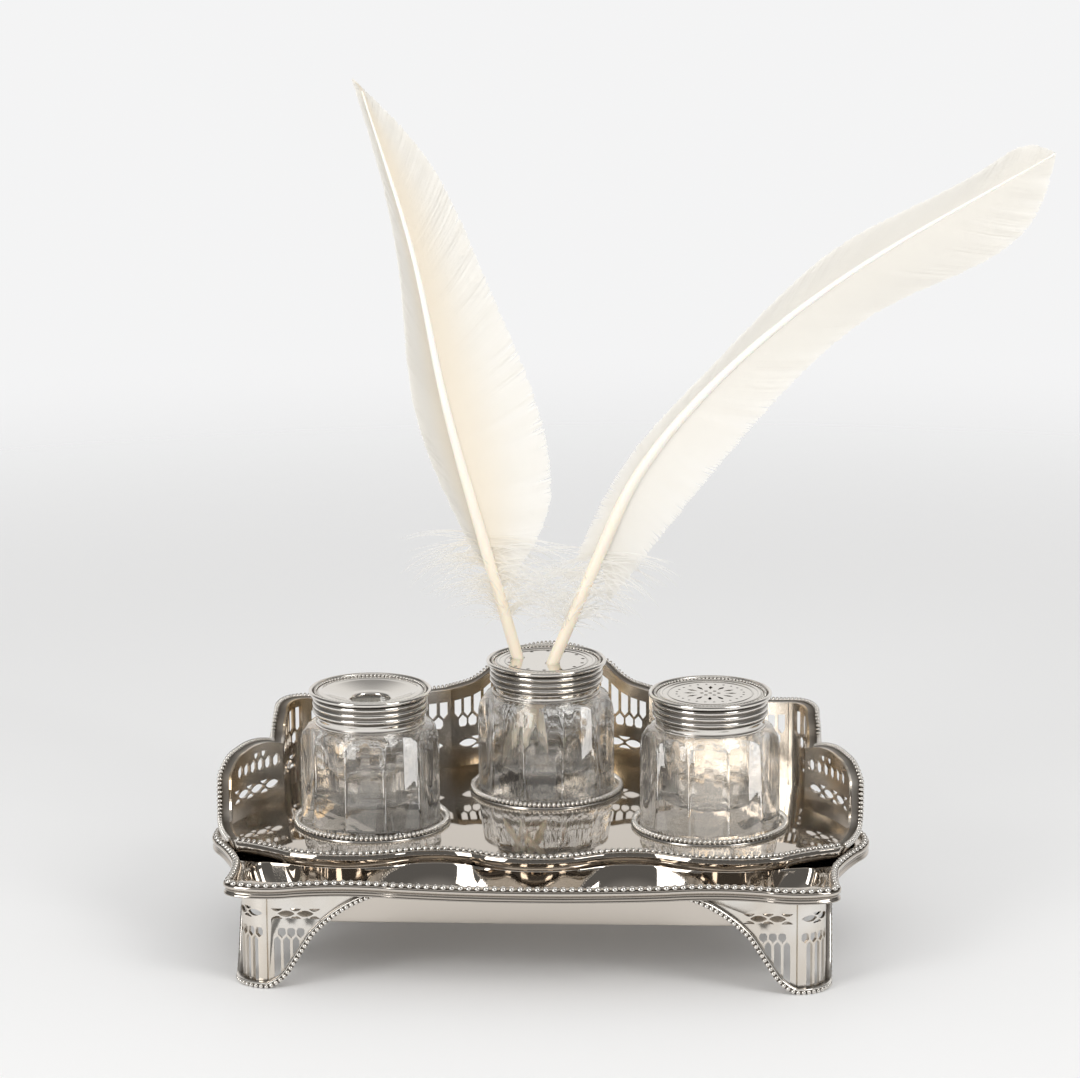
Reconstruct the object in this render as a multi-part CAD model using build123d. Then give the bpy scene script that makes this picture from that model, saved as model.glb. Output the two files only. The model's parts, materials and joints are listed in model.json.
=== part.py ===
from build123d import *
from math import atan, cos, degrees, floor, pi, radians, sin, sqrt, tan
import os

# Desk inkstand: a shaped silver tray on four pierced bracket feet, with a pen trough along its front,
# a pierced gallery round its sides and back, three cut-glass bottles and two quill pens.
# Millimetres. +Z is up and the pen trough is at -Y. The pieces are drawn round the tray's middle, and
# written out round an origin on the table in the middle of the whole object's box, quills and all.
# A plan track is a chain of arcs. Each arc is written as its end point and how far it leaves its
# chord, counted to the right of travel, which is outwards.

TRAY_MIDDLE = (-37.1, -3.2)   # place of the tray's middle in the finished object

# ---- silver sheet and heights above the table ----
SHEET = 1.2                   # thickness of the tray's sheet
RIM_SHEET_TOP = 42.6          # top of the sheet that runs out to the rim
PLATFORM_TOP = 47.5           # top of the platform that carries the bottles
TROUGH_DEPTH = 16.0           # from the rim's sheet to the bottom of the pen trough
EDGE_BACKING = 10.0           # width of the thick band under the platform's edge
PLATFORM_MARGIN = 1.2         # the platform's edge stands this far outside its border's centre line

# ---- plan of the outer rim, right half, from the front to the back ----
RIM_POINTS = [(53, -82.5), (93, -82.5), (115, -82.8), (119, -77.5), (118.6, -52), (127, -29),
              (130, -8), (113.8, 17.5), (113.2, 42), (103, 56.5), (45, 77)]
RIM_BULGES = [-2.4, 2.0, 1.2, -0.8, -0.6, 2.2, 1.0, 1.2, 3.0, 2.0]
RIM_FRONT_BULGE = 3.8
RIM_BACK_BULGE = 15.6

# ---- plan of the platform's front border, right half ----
FRONT_POINTS = [(24, -51), (54, -51), (99, -51), (120.3, -38)]
FRONT_BULGES = [-3.6, 5.0, -0.8]
FRONT_CENTRE_BULGE = 7.0

# ---- plan of the gallery's wall, right half ----
SIDE_WALL = [(120.3, -38), (125.6, -14.5), (107.5, 15.5)]
SIDE_WALL_BULGES = [1.2, 1.8]
CORNER_WALL = [(107.5, 15.5), (108, 38), (100.5, 50)]
CORNER_WALL_BULGES = [1.0, 2.6]
WING_WALL = [(100.5, 50), (42, 70)]
WING_WALL_BULGES = [2.0]
CENTRE_WALL_BULGE = 15.0

# ---- top line of each gallery panel: distance along its chord and height above the platform ----
SIDE_CREST = [(0, 1.9), (13, 3.4), (18.6, 12), (34, 27.2)]
SIDE_CREST_BULGES = [0.2, 1.6, -4.2]
SIDE_CREST_END_BULGE = -1.9
CORNER_CREST = [(0, 23.5), (11, 25.0), (16.5, 29)]
CORNER_CREST_BULGES = [0.3, 0.9]
CORNER_CREST_END_BULGE = -2.4
WING_CREST_BULGE = 1.8
CENTRE_CREST = [(0, 34.4), (9, 35.6), (17.6, 41.7)]
CENTRE_CREST_BULGES = [0.2, 0.7]
CENTRE_PEAK_BULGE = -8.3
CUSP_HEIGHT = 25.5            # crest where the side panel meets the corner panel
CORNER_HEIGHT = 35.5          # crest where the corner panel meets the wing

# ---- gallery sheet, its outward flange and the beaded wire at the flange's edge ----
WALL = 1.0
FLANGE_REACH = 5.2            # from the wall's centre line to the flange's edge
FLANGE_THICKNESS = 1.1
WIRE_WIDTH = 1.8
WIRE_HEIGHT = 1.8

# ---- piercing: rows counted from the foot of the sheet, heights and spacings ----
BAND_MIDDLE = 9.9             # middle of the row of crossed ovals
OVAL_PITCH = 9.3
OVAL_LENGTH = 8.5
OVAL_HEIGHT = 3.3
HALF_OVAL_GAP = 1.0           # silver left between an oval and the half ovals beside it
HALF_OVAL_HEIGHT = 1.5
HALF_OVAL_LENGTH = 5.6
CELL_FOOT = 17.3              # foot of the row of small cells
CELL_HEIGHT = 5.2
CELL_PITCH = OVAL_PITCH / 2
CELL_WIDTH = 3.8
BAR_FOOT = 21.6               # pointed foot of the tall slots
BAR_POINT = 1.9
BAR_WIDTH = 3.3
BACK_MARGIN = 5.2             # silver between the slots' tops and the crest, along the back
SIDE_MARGIN = 3.2             # the same at the sides and on the feet
CELL_MARGIN = 2.0             # least silver over the cells and ovals
SHORTEST_BAR = 1.2

# ---- rim moulding and platform border ----
MOULDING_FOOT = 38.8          # lowest edge of the rim's moulding, above the table
MOULDING_TOP = 45.2
MOULDING_INNER = 1.0          # reach inside the rim's centre line
MOULDING_OUTER = 2.4          # reach outside it
BORDER_HALF_WIDTH = 1.2
BORDER_HEIGHT = 1.9

# ---- pen trough: opening and floor, right half, from the front to the back ----
TROUGH_MOUTH = [(53, -76.2), (93, -76.2), (104.5, -76.3), (112.8, -68.3), (112.8, -56), (106.8, -50.6),
                (98.5, -52.4), (54, -52.4), (24, -52.4)]
TROUGH_MOUTH_BULGES = [-2.4, 0.2, 2.0, 0.0, 1.8, 0.0, -5.0, 3.6]
TROUGH_MOUTH_FRONT_BULGE = 3.8
TROUGH_MOUTH_BACK_BULGE = -7.0
TROUGH_FLOOR = [(50, -72.5), (86, -72.5), (98, -72.4), (102, -69.5), (102, -67), (98, -64.5),
                (90, -64), (54, -64), (24, -64)]
TROUGH_FLOOR_BULGES = [0.2, 0.2, 1.0, 0.2, 1.0, 0.2, 0.2, 0.2]
TROUGH_FLOOR_END_BULGE = 0.2
TROUGH_SHARES = (0.0, 0.3, 0.6, 0.85, 1.0)      # depths at which its outline is drawn

# ---- bracket feet ----
FOOT_SHEET = 1.2
FOOT_CORNER_RADIUS = 11.0
FRONT_FOOT_CORNER = (114.9, -78.4)
FRONT_FOOT_HEADINGS = (0.0, 90.0)        # directions of its two wings, in degrees
BACK_FOOT_CORNER = (110.6, 49.4)
BACK_FOOT_HEADINGS = (90.0, 159.5)
FOOT_CURVE = [(0, 0), (10, 8.8), (18, 21.5), (44.5, 38.8)]   # underside of a wing, out from the corner
FOOT_CURVE_BULGES = [1.2, 0.0, -2.3]
FOOT_FLANGE_REACH = 3.2
FOOT_FLANGE_THICKNESS = 2.6
FOOT_PIERCING_SCALE = 0.8     # size of the foot's piercing beside the gallery's
FOOT_PIERCING_DROP = 3.0      # from the foot's top down to where its pattern is counted from

# ---- bottles ----
SIDE_BOTTLE_X = 68.8
SIDE_BOTTLE_Y = -8.0
CENTRE_BOTTLE_Y = 41.2
BOTTLE_RADIUS = 28.5
FLUTE_COUNT = 11
FLUTE_DEPTH = 3.4             # how far the hollow of a flute lies inside the ridges
FLUTE_FOOT = 3.0              # plain glass under the flutes
SHOULDER_FOOT = 35.2          # height of the body's upright sides
SHOULDER_BENDS = [(0.9, 3.2), (3.3, 5.8)]       # bends of the shoulder: in from the side, up from its foot
SHOULDER_TOP = 42.2
NECK_RADIUS = 18.4
NECK_TOP = 52.0
WELL_RADIUS = 20.0
WELL_FLOOR = 9.0
NECK_BORE = 14.5
RING_CLEARANCE = 0.9          # between a bottle and its ring
RING_WIDTH = 2.6
RING_HEIGHT = 3.0

# ---- silver collar cemented round the neck ----
CEMENT_WIDTH = 2.2
COLLAR_WALL = 1.6
COLLAR_RADIUS = NECK_RADIUS + CEMENT_WIDTH + COLLAR_WALL
COLLAR_TOP = 54.0
CEMENT_TOP = 47.0
REED_RADIUS = 1.25
REED_COUNT = 3
REED_FOOT = 46.2

# ---- lids ----
LID_OVERHANG = 2.7            # how far a lid's rim stands outside the collar
LID_RIM_RADIUS = COLLAR_RADIUS + LID_OVERHANG
LID_RIM_HEIGHT = 2.0
LID_RIM_WIDTH = 4.0           # from the rim's edge in to the plate
LID_CLEARANCE = 0.3           # between the lid's skirt and the collar
LID_SKIRT_WALL = 0.9
LID_SKIRT_DEPTH = 6.0
PLATE_THICKNESS = 1.0
PLATE_RECESS = 1.0            # from the rim's top to the plate's top
DISH_DEPTH = 3.6
DISH_MARGIN = 1.5             # between the dish's lip and the skirt
DISH_HOLE_RADIUS = 8.0
SPRINKLER_HOLE_RADIUS = 0.75
SPRINKLER_RINGS = [(0.0, 1), (3.4, 6)]          # radius and number of holes
PETAL_COUNT = 12              # petal-shaped slots round the sprinkler's holes
PETAL_FOOT = 5.8              # where a petal starts, from the plate's middle
PETAL_LENGTH = 5.0
PETAL_WIDTH = 1.7
DOT_RADIUS = 0.5              # small holes between the petals' tips
DOT_CIRCLE = 13.6
QUILL_PLATE_HOLES = 14
QUILL_PLATE_HOLE_CIRCLE = 15.5

# ---- quill pens, drawn in an upright plane: x across, z above the table ----
QUILL_RADIUS = 2.5
QUILL_TIP_RADIUS = 0.5
QUILL_HOLE_CLEARANCE = 0.35
QUILL_FOOT_CLEARANCE = 0.8
QUILL_PLANE_GAP = 8.4         # between the planes of the two quills
NIB_LENGTH = 9.0
NIB_RADIUS = 0.6
VANE_THICKNESS = 0.8
LEFT_QUILL = [(-11.5, 100.5), (-25.5, 151.0), (-43.0, 218.5), (-53.0, 269.0), (-74.0, 340.0)]
LEFT_VANE_NEAR = [(-29.5, 147), (-54.5, 210.5), (-59, 261), (-74, 331), (-78.5, 345.5)]
LEFT_VANE_FAR = [(-18.5, 131.5), (1.5, 166.5), (1.5, 189.5), (-23.5, 261), (-48.5, 313), (-78.5, 345.5)]
RIGHT_QUILL = [(2.0, 100.5), (29.5, 165.5), (61.5, 212.5), (125.0, 267.0), (207.0, 316.0)]
RIGHT_VANE_NEAR = [(12, 145.5), (29, 181.5), (70, 229.5), (122, 279), (182, 312), (197, 320), (207.5, 316)]
RIGHT_VANE_FAR = [(26.5, 128.5), (49.5, 158.5), (93.5, 212.5), (142.5, 254.5), (198, 287), (207.5, 316)]


def solid_between(face, low, high):
    """Raise a face drawn at height 0 to a solid between two heights."""
    return extrude(face.moved(Location((0, 0, low))), amount=high - low, dir=(0, 0, 1))


def mirror_right(solid):
    """The same piece on the left side."""
    return mirror(solid, about=Plane.YZ)


class Track:
    """A chain of arcs in a plane, each given by its end point and its bulge to the right."""

    def __init__(self, points, bulges, closed=False):
        self.points = [Vector(*point) for point in points]
        if closed:
            self.points.append(self.points[0])
        self.bulges = bulges
        self.closed = closed
        ends = list(zip(self.points, self.points[1:]))
        self.chords = [end - start for start, end in ends]
        self.turns = [2 * atan(2 * bulge / chord.length) for bulge, chord in zip(bulges, self.chords)]
        self.middles = []
        self.outwards = []
        for (start, end), chord, bulge in zip(ends, self.chords, bulges):
            outward = Vector(chord.Y, -chord.X).normalized()
            self.outwards.append(outward)
            self.middles.append((start + end) * 0.5 + outward * bulge)
        self.mitres = self._mitres()

    def _mitres(self):
        """The direction in which each joint of the chain moves when the chain is offset by 1."""
        before = [out.rotate(Axis.Z, degrees(turn)) for out, turn in zip(self.outwards, self.turns)]
        after = [out.rotate(Axis.Z, -degrees(turn)) for out, turn in zip(self.outwards, self.turns)]
        pairs = [(before[i - 1], after[i]) for i in range(1, len(after))]
        mitres = [(a + b) * (1 / (1 + a.dot(b))) for a, b in pairs]
        first, last = after[0], before[-1]
        if self.closed:
            first = (last + first) * (1 / (1 + last.dot(first)))
            last = first
        return [first] + mitres + [last]

    def edges(self, shift=0.0):
        """The chain moved to the right by shift."""
        moved = [point + mitre * shift for point, mitre in zip(self.points, self.mitres)]
        drawn = []
        for i, bulge in enumerate(self.bulges):
            if bulge == 0:
                drawn.append(Line(moved[i], moved[i + 1]))
            else:
                middle = self.middles[i] + self.outwards[i] * shift
                drawn.append(ThreePointArc(moved[i], middle, moved[i + 1]))
        return drawn

    def area(self, shift=0.0):
        """The face inside a closed chain."""
        return make_face(self.edges(shift))

    def band(self, near, far):
        """The face between two offsets of an open chain."""
        first = [Line(self.points[0] + self.mitres[0] * near, self.points[0] + self.mitres[0] * far)]
        last = [Line(self.points[-1] + self.mitres[-1] * near, self.points[-1] + self.mitres[-1] * far)]
        return make_face(self.edges(near) + first + self.edges(far) + last)

    def lengths(self):
        """The length of each arc."""
        found = []
        for chord, turn in zip(self.chords, self.turns):
            found.append(chord.length if turn == 0 else chord.length * turn / sin(turn))
        return found

    def at(self, distance):
        """The point at a distance along the chain."""
        for i, length in enumerate(self.lengths()):
            if distance <= length or i == len(self.bulges) - 1:
                share = distance / length
                break
            distance -= length
        chord, turn = self.chords[i], self.turns[i]
        if turn == 0:
            return self.points[i] + chord * share
        radius = chord.length / (2 * sin(turn))
        centre = self.middles[i] - self.outwards[i] * radius
        return centre + (self.outwards[i] * radius).rotate(Axis.Z, degrees(turn) * (2 * share - 1))

    def height_over(self, across):
        """The chain's second coordinate over a place along its first one."""
        for i, (start, end) in enumerate(zip(self.points, self.points[1:])):
            if across <= end.X or i == len(self.bulges) - 1:
                break
        chord, turn = self.chords[i], self.turns[i]
        if turn == 0:
            return start.Y + chord.Y * (across - start.X) / chord.X
        radius = chord.length / (2 * sin(turn))
        centre = self.middles[i] - self.outwards[i] * radius
        reach = sqrt(max(radius * radius - (across - centre.X) ** 2, 0))
        return centre.Y - reach if radius > 0 else centre.Y + reach


def closed_track(points, bulges, front_bulge, back_bulge):
    """A closed chain that is the same on the left, from its right half, front to back."""
    left = [(-x, y) for x, y in reversed(points)]
    return Track(points + left, bulges + [back_bulge] + list(reversed(bulges)) + [front_bulge], closed=True)


def hole(corners, place):
    """A straight-sided hole from its corners."""
    return make_face(Polyline(*[place(*corner) for corner in corners], close=True))


def oval(middle, height, place):
    """A pointed oval, lying down."""
    half = OVAL_LENGTH / 2
    tips = place(middle - half, height), place(middle + half, height)
    low, high = place(middle, height - OVAL_HEIGHT / 2), place(middle, height + OVAL_HEIGHT / 2)
    return make_face([ThreePointArc(tips[0], low, tips[1]), ThreePointArc(tips[1], high, tips[0])])


def half_oval(middle, height, side, place):
    """Half of an oval, flat towards the outside of its row; side is 1 over the ovals and -1 under them."""
    half = HALF_OVAL_LENGTH / 2
    flat = height + side * (OVAL_HEIGHT / 2 + HALF_OVAL_GAP)
    tips = place(middle - half, flat), place(middle + half, flat)
    crown = place(middle, flat - side * HALF_OVAL_HEIGHT)
    return make_face([ThreePointArc(tips[0], crown, tips[1]), Line(tips[1], tips[0])])


def piercings(length, room, place, margin=SIDE_MARGIN):
    """Every hole of the pattern that fits between the sheet's foot and the room over it."""
    holes = []

    def fits(middle, half, top, spare=CELL_MARGIN):
        inside = middle - half > WALL and middle + half < length - WALL
        return inside and min(room(middle - half), room(middle + half)) - spare > top

    ovals = max(floor(length / OVAL_PITCH), 1)
    first = (length - (ovals - 1) * OVAL_PITCH) / 2
    band_top = BAND_MIDDLE + OVAL_HEIGHT / 2 + HALF_OVAL_GAP
    for i in range(-1, 2 * ovals + 1):
        middle = first + i * OVAL_PITCH / 2
        if i % 2 == 0 and fits(middle, OVAL_LENGTH / 2, band_top):
            holes.append(oval(middle, BAND_MIDDLE, place))
        if i % 2 == 1 and fits(middle, HALF_OVAL_LENGTH / 2, band_top):
            holes.append(half_oval(middle, BAND_MIDDLE, 1, place))
            holes.append(half_oval(middle, BAND_MIDDLE, -1, place))

    half = CELL_WIDTH / 2
    for i in range(-1, 2 * ovals + 1):
        middle = first + (i + 0.5) * CELL_PITCH
        if fits(middle, half, CELL_FOOT + CELL_HEIGHT):
            corners = [(-1, 0.2), (-0.6, 0), (0.6, 0), (1, 0.2), (1, 0.66), (0, 1), (-1, 0.66)]
            corners = [(middle + dx * half, CELL_FOOT + share * CELL_HEIGHT) for dx, share in corners]
            holes.append(hole(corners, place))

    half = BAR_WIDTH / 2
    for i in range(-1, 2 * ovals + 1):
        middle = first + i * CELL_PITCH
        if fits(middle, half, BAR_FOOT + BAR_POINT + SHORTEST_BAR, margin):
            low, high = middle - half, middle + half
            sill = BAR_FOOT + BAR_POINT
            tops = [room(end) - margin for end in (low, high)]
            corners = [(middle, BAR_FOOT), (high, sill), (high, tops[1]), (low, tops[0]), (low, sill)]
            holes.append(hole(corners, place))
    return holes


class Panel:
    """A pierced sheet that stands on a plan track and is seen square to the track's chord."""

    def __init__(self, track, base):
        self.track = track
        self.base = base
        self.start = track.points[0]
        span = track.points[-1] - self.start
        self.span = span.length
        self.along = span.normalized()
        self.facing = Vector(self.along.Y, -self.along.X)
        origin = Vector(self.start.X, self.start.Y, base)
        self.plane = Plane(origin=origin, x_dir=self.along, z_dir=self.facing)

    def across(self, distance):
        """How far along the chord a place on the track is."""
        return (self.track.at(distance) - self.start).dot(self.along)

    def cut_from(self, band, drawing, height):
        """The part of an upright band that shows inside a drawing made on the panel's plane."""
        wall = solid_between(band, self.base - height, self.base + height)
        reach = self.span + 2 * FLANGE_REACH
        return wall & extrude(self.plane * drawing, amount=reach, both=True)


def crest_drawing(crest, span, holes):
    """The outline of a wall under its crest, with its holes."""
    start, end = crest.points[0], crest.points[-1]
    sides = [Line((start.X, 0), start), Line((0, 0), (span, 0)), Line(end, (end.X, 0))]
    return make_face(crest.edges() + sides) - holes


def gallery_panel(track, crest, margin):
    """A gallery panel's pierced wall, and its flange with the wire along the edge."""
    panel = Panel(track, PLATFORM_TOP)
    length = sum(track.lengths())
    holes = piercings(length,
                      lambda s: crest.height_over(panel.across(s)),
                      lambda s, h: (panel.across(s), h),
                      margin)
    tall = CORNER_HEIGHT * 2
    wall = panel.cut_from(track.band(-WALL / 2, WALL / 2), crest_drawing(crest, panel.span, holes), tall)
    flange = panel.cut_from(track.band(WALL / 2, FLANGE_REACH), crest.band(0, FLANGE_THICKNESS), tall)
    edge = track.band(FLANGE_REACH - WIRE_WIDTH, FLANGE_REACH)
    wire = panel.cut_from(edge, crest.band(-(WIRE_HEIGHT - FLANGE_THICKNESS), FLANGE_THICKNESS), tall)
    return wall, flange + wire


def make_gallery(border_end):
    """All seven panels of the gallery and their flanges; border_end is the mitre at the front border's end."""
    side = Track(SIDE_WALL, SIDE_WALL_BULGES)
    corner = Track(CORNER_WALL, CORNER_WALL_BULGES)
    wing = Track(WING_WALL, WING_WALL_BULGES)
    centre_end = WING_WALL[-1]
    centre = Track([centre_end, (-centre_end[0], centre_end[1])], [CENTRE_WALL_BULGE])
    whole = Track(SIDE_WALL + CORNER_WALL[1:] + WING_WALL[1:] + centre_points(centre),
                  SIDE_WALL_BULGES + CORNER_WALL_BULGES + WING_WALL_BULGES + [CENTRE_WALL_BULGE])
    share_mitres(whole, [side, corner, wing, centre])
    centre.mitres[-1] = Vector(-centre.mitres[0].X, centre.mitres[0].Y)
    side.mitres[0] = border_end

    spans = [(track.points[-1] - track.points[0]).length for track in (side, corner, wing, centre)]
    side_crest = Track(SIDE_CREST + [(spans[0], CUSP_HEIGHT)], SIDE_CREST_BULGES + [SIDE_CREST_END_BULGE])
    corner_crest = Track(CORNER_CREST + [(spans[1], CORNER_HEIGHT)],
                         CORNER_CREST_BULGES + [CORNER_CREST_END_BULGE])
    wing_crest = Track([(0, CORNER_HEIGHT), (spans[2], CENTRE_CREST[0][1])], [WING_CREST_BULGE])
    rising = CENTRE_CREST + [(spans[3] - x, z) for x, z in reversed(CENTRE_CREST)]
    bulges = CENTRE_CREST_BULGES + [CENTRE_PEAK_BULGE] + list(reversed(CENTRE_CREST_BULGES))
    centre_crest = Track(rising, bulges)

    nodes = {}
    panels = {"side": (side, side_crest), "corner": (corner, corner_crest), "wing": (wing, wing_crest)}
    for name, (track, crest) in panels.items():
        wall, flange = gallery_panel(track, crest, BACK_MARGIN if name == "wing" else SIDE_MARGIN)
        nodes[f"gallery_{name}_right"] = wall
        nodes[f"gallery_{name}_left"] = mirror_right(wall)
        nodes[f"gallery_{name}_border_right"] = flange
        nodes[f"gallery_{name}_border_left"] = mirror_right(flange)
    middle = gallery_panel(centre, centre_crest, BACK_MARGIN)
    nodes["gallery_centre"], nodes["gallery_centre_border"] = middle
    return nodes


def centre_points(track):
    """The far end of the centre panel, as a list of one point."""
    return [(track.points[-1].X, track.points[-1].Y)]


def share_mitres(whole, parts):
    """Give each part of a chain the mitres that the whole chain has at its joints."""
    first = 0
    for part in parts:
        count = len(part.points)
        part.mitres = whole.mitres[first:first + count]
        first += count - 1


def trough_body(swell, drop):
    """The trough's inside, or with swell and drop its outside, lofted from its mouth to its floor."""
    mouth = closed_track(TROUGH_MOUTH, TROUGH_MOUTH_BULGES, TROUGH_MOUTH_FRONT_BULGE, TROUGH_MOUTH_BACK_BULGE)
    bottom = closed_track(TROUGH_FLOOR, TROUGH_FLOOR_BULGES, TROUGH_FLOOR_END_BULGE, TROUGH_FLOOR_END_BULGE)
    sections = []
    for share in TROUGH_SHARES:
        inward = 1 - sqrt(1 - share * share)
        points = [a * (1 - inward) + b * inward for a, b in zip(mouth.points, bottom.points)][:-1]
        bulges = [a * (1 - inward) + b * inward for a, b in zip(mouth.bulges, bottom.bulges)]
        section = Track([(point.X, point.Y) for point in points], bulges, closed=True)
        height = RIM_SHEET_TOP - share * TROUGH_DEPTH - drop * share
        sections.append(section.area(swell).moved(Location((0, 0, height))))
    return loft(sections)


def make_tray():
    """The tray: rim sheet, raised platform and pen trough in one sheet."""
    rim = closed_track(RIM_POINTS, RIM_BULGES, RIM_FRONT_BULGE, RIM_BACK_BULGE)
    walls = SIDE_WALL[1:] + CORNER_WALL[1:] + WING_WALL[1:]
    wall_bulges = SIDE_WALL_BULGES + CORNER_WALL_BULGES + WING_WALL_BULGES
    ground = closed_track(FRONT_POINTS + walls, FRONT_BULGES + wall_bulges,
                          FRONT_CENTRE_BULGE, CENTRE_WALL_BULGE)
    sheet_low = RIM_SHEET_TOP - SHEET
    rim_sheet = solid_between(rim.area(PLATFORM_MARGIN), sheet_low, RIM_SHEET_TOP)
    platform = ground.area(PLATFORM_MARGIN)
    plateau = solid_between(platform, sheet_low, PLATFORM_TOP)
    recess = solid_between(offset(platform, amount=-EDGE_BACKING), sheet_low, PLATFORM_TOP - SHEET)
    return rim_sheet + plateau + trough_body(SHEET, SHEET) - trough_body(0, 0) - recess, rim, ground


def make_mouldings(rim, border_end):
    """The moulding round the rim and the border along the platform's front edge."""
    whole_band = rim.area(MOULDING_OUTER) - rim.area(PLATFORM_MARGIN)
    apron = solid_between(whole_band, MOULDING_FOOT, MOULDING_TOP)
    cap = solid_between(rim.area(PLATFORM_MARGIN) - rim.area(-MOULDING_INNER), RIM_SHEET_TOP, MOULDING_TOP)
    left = [(-x, y) for x, y in reversed(FRONT_POINTS)]
    front = Track(left + FRONT_POINTS, list(reversed(FRONT_BULGES)) + [FRONT_CENTRE_BULGE] + FRONT_BULGES)
    front.mitres[-1] = border_end
    front.mitres[0] = Vector(-border_end.X, border_end.Y)
    band = front.band(-BORDER_HALF_WIDTH, BORDER_HALF_WIDTH)
    return apron + cap, solid_between(band, PLATFORM_TOP, PLATFORM_TOP + BORDER_HEIGHT)


def foot_tracks(corner, headings):
    """The two wings and the rounded corner of a foot, as plan tracks."""
    into = Vector(1, 0).rotate(Axis.Z, headings[0])
    away = Vector(1, 0).rotate(Axis.Z, headings[1])
    turn = radians(headings[1] - headings[0])
    setback = FOOT_CORNER_RADIUS * tan(turn / 2)
    tip = Vector(*corner)
    reach = FOOT_CURVE[-1][0]
    points = [tip - into * (setback + reach), tip - into * setback,
              tip + away * setback, tip + away * (setback + reach)]
    points = [(point.X, point.Y) for point in points]
    bulge = FOOT_CORNER_RADIUS * (1 - cos(turn / 2))
    whole = Track(points, [0.0, bulge, 0.0])
    parts = [Track(points[0:2], [0.0]), Track(points[1:3], [bulge]), Track(points[2:4], [0.0])]
    share_mitres(whole, parts)
    return parts


def foot_drawing(underside, top, length, flip):
    """The outline of a foot's wing with its piercing, which is counted downwards."""
    scale = FOOT_PIERCING_SCALE
    head = top - FOOT_PIERCING_DROP
    room_track = Track([(x, head - z) for x, z in FOOT_CURVE], [-bulge for bulge in FOOT_CURVE_BULGES])

    def place(s, h):
        """Where a point of the full-size pattern lies on the foot."""
        across = s * scale
        return (length - across if flip else across, head - h * scale)

    holes = piercings(length / scale, lambda s: room_track.height_over(s * scale) / scale, place)
    ends = [Line((0, 0), (0, top)), Line((0, top), (length, top)), Line((length, top), underside.points[-1])]
    outline = make_face(underside.edges() + ends)
    if flip:
        outline = mirror(outline, about=Plane.YZ).moved(Location((length, 0, 0)))
    return outline - holes


def make_foot(corner, headings):
    """A foot's pierced sheet, and the beaded flange along its curved edges."""
    top = RIM_SHEET_TOP - SHEET
    into, bend, away = foot_tracks(corner, headings)
    underside = Track(FOOT_CURVE, FOOT_CURVE_BULGES)
    length = FOOT_CURVE[-1][0]
    sheet = None
    flange = None
    for track, flip in ((into, True), (away, False)):
        panel = Panel(track, 0)
        drawing = foot_drawing(underside, top, length, flip)
        wing = panel.cut_from(track.band(-FOOT_SHEET / 2, FOOT_SHEET / 2), drawing, top * 2)
        edge = underside.band(-FOOT_FLANGE_THICKNESS, 0)
        if flip:
            edge = mirror(edge, about=Plane.YZ).moved(Location((length, 0, 0)))
        strip = panel.cut_from(track.band(FOOT_SHEET / 2, FOOT_FLANGE_REACH), edge, top * 2)
        sheet = wing if sheet is None else sheet + wing
        flange = strip if flange is None else flange + strip
    panel = Panel(bend, 0)
    scale = FOOT_PIERCING_SCALE
    head = top - FOOT_PIERCING_DROP
    holes = piercings(sum(bend.lengths()) / scale,
                      lambda s: head / scale,
                      lambda s, h: (panel.across(s * scale), head - h * scale))
    drawing = make_face(Polyline((0, 0), (panel.span, 0), (panel.span, top), (0, top), close=True)) - holes
    sheet = sheet + panel.cut_from(bend.band(-FOOT_SHEET / 2, FOOT_SHEET / 2), drawing, top * 2)
    toe = solid_between(bend.band(FOOT_SHEET / 2, FOOT_FLANGE_REACH), 0, FOOT_FLANGE_THICKNESS)
    flange = flange + toe
    above = Pos(0, 0, MOULDING_FOOT) * Box(400, 400, 40, align=(Align.CENTER, Align.CENTER, Align.MIN))
    return sheet, flange - above


def turned(profile, x, y):
    """A body of revolution from its outline in (radius, height), standing on the platform."""
    face = make_face(Plane.XZ * Polyline(*profile, close=True))
    return Pos(x, y, PLATFORM_TOP) * revolve(face, Axis.Z)


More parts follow.
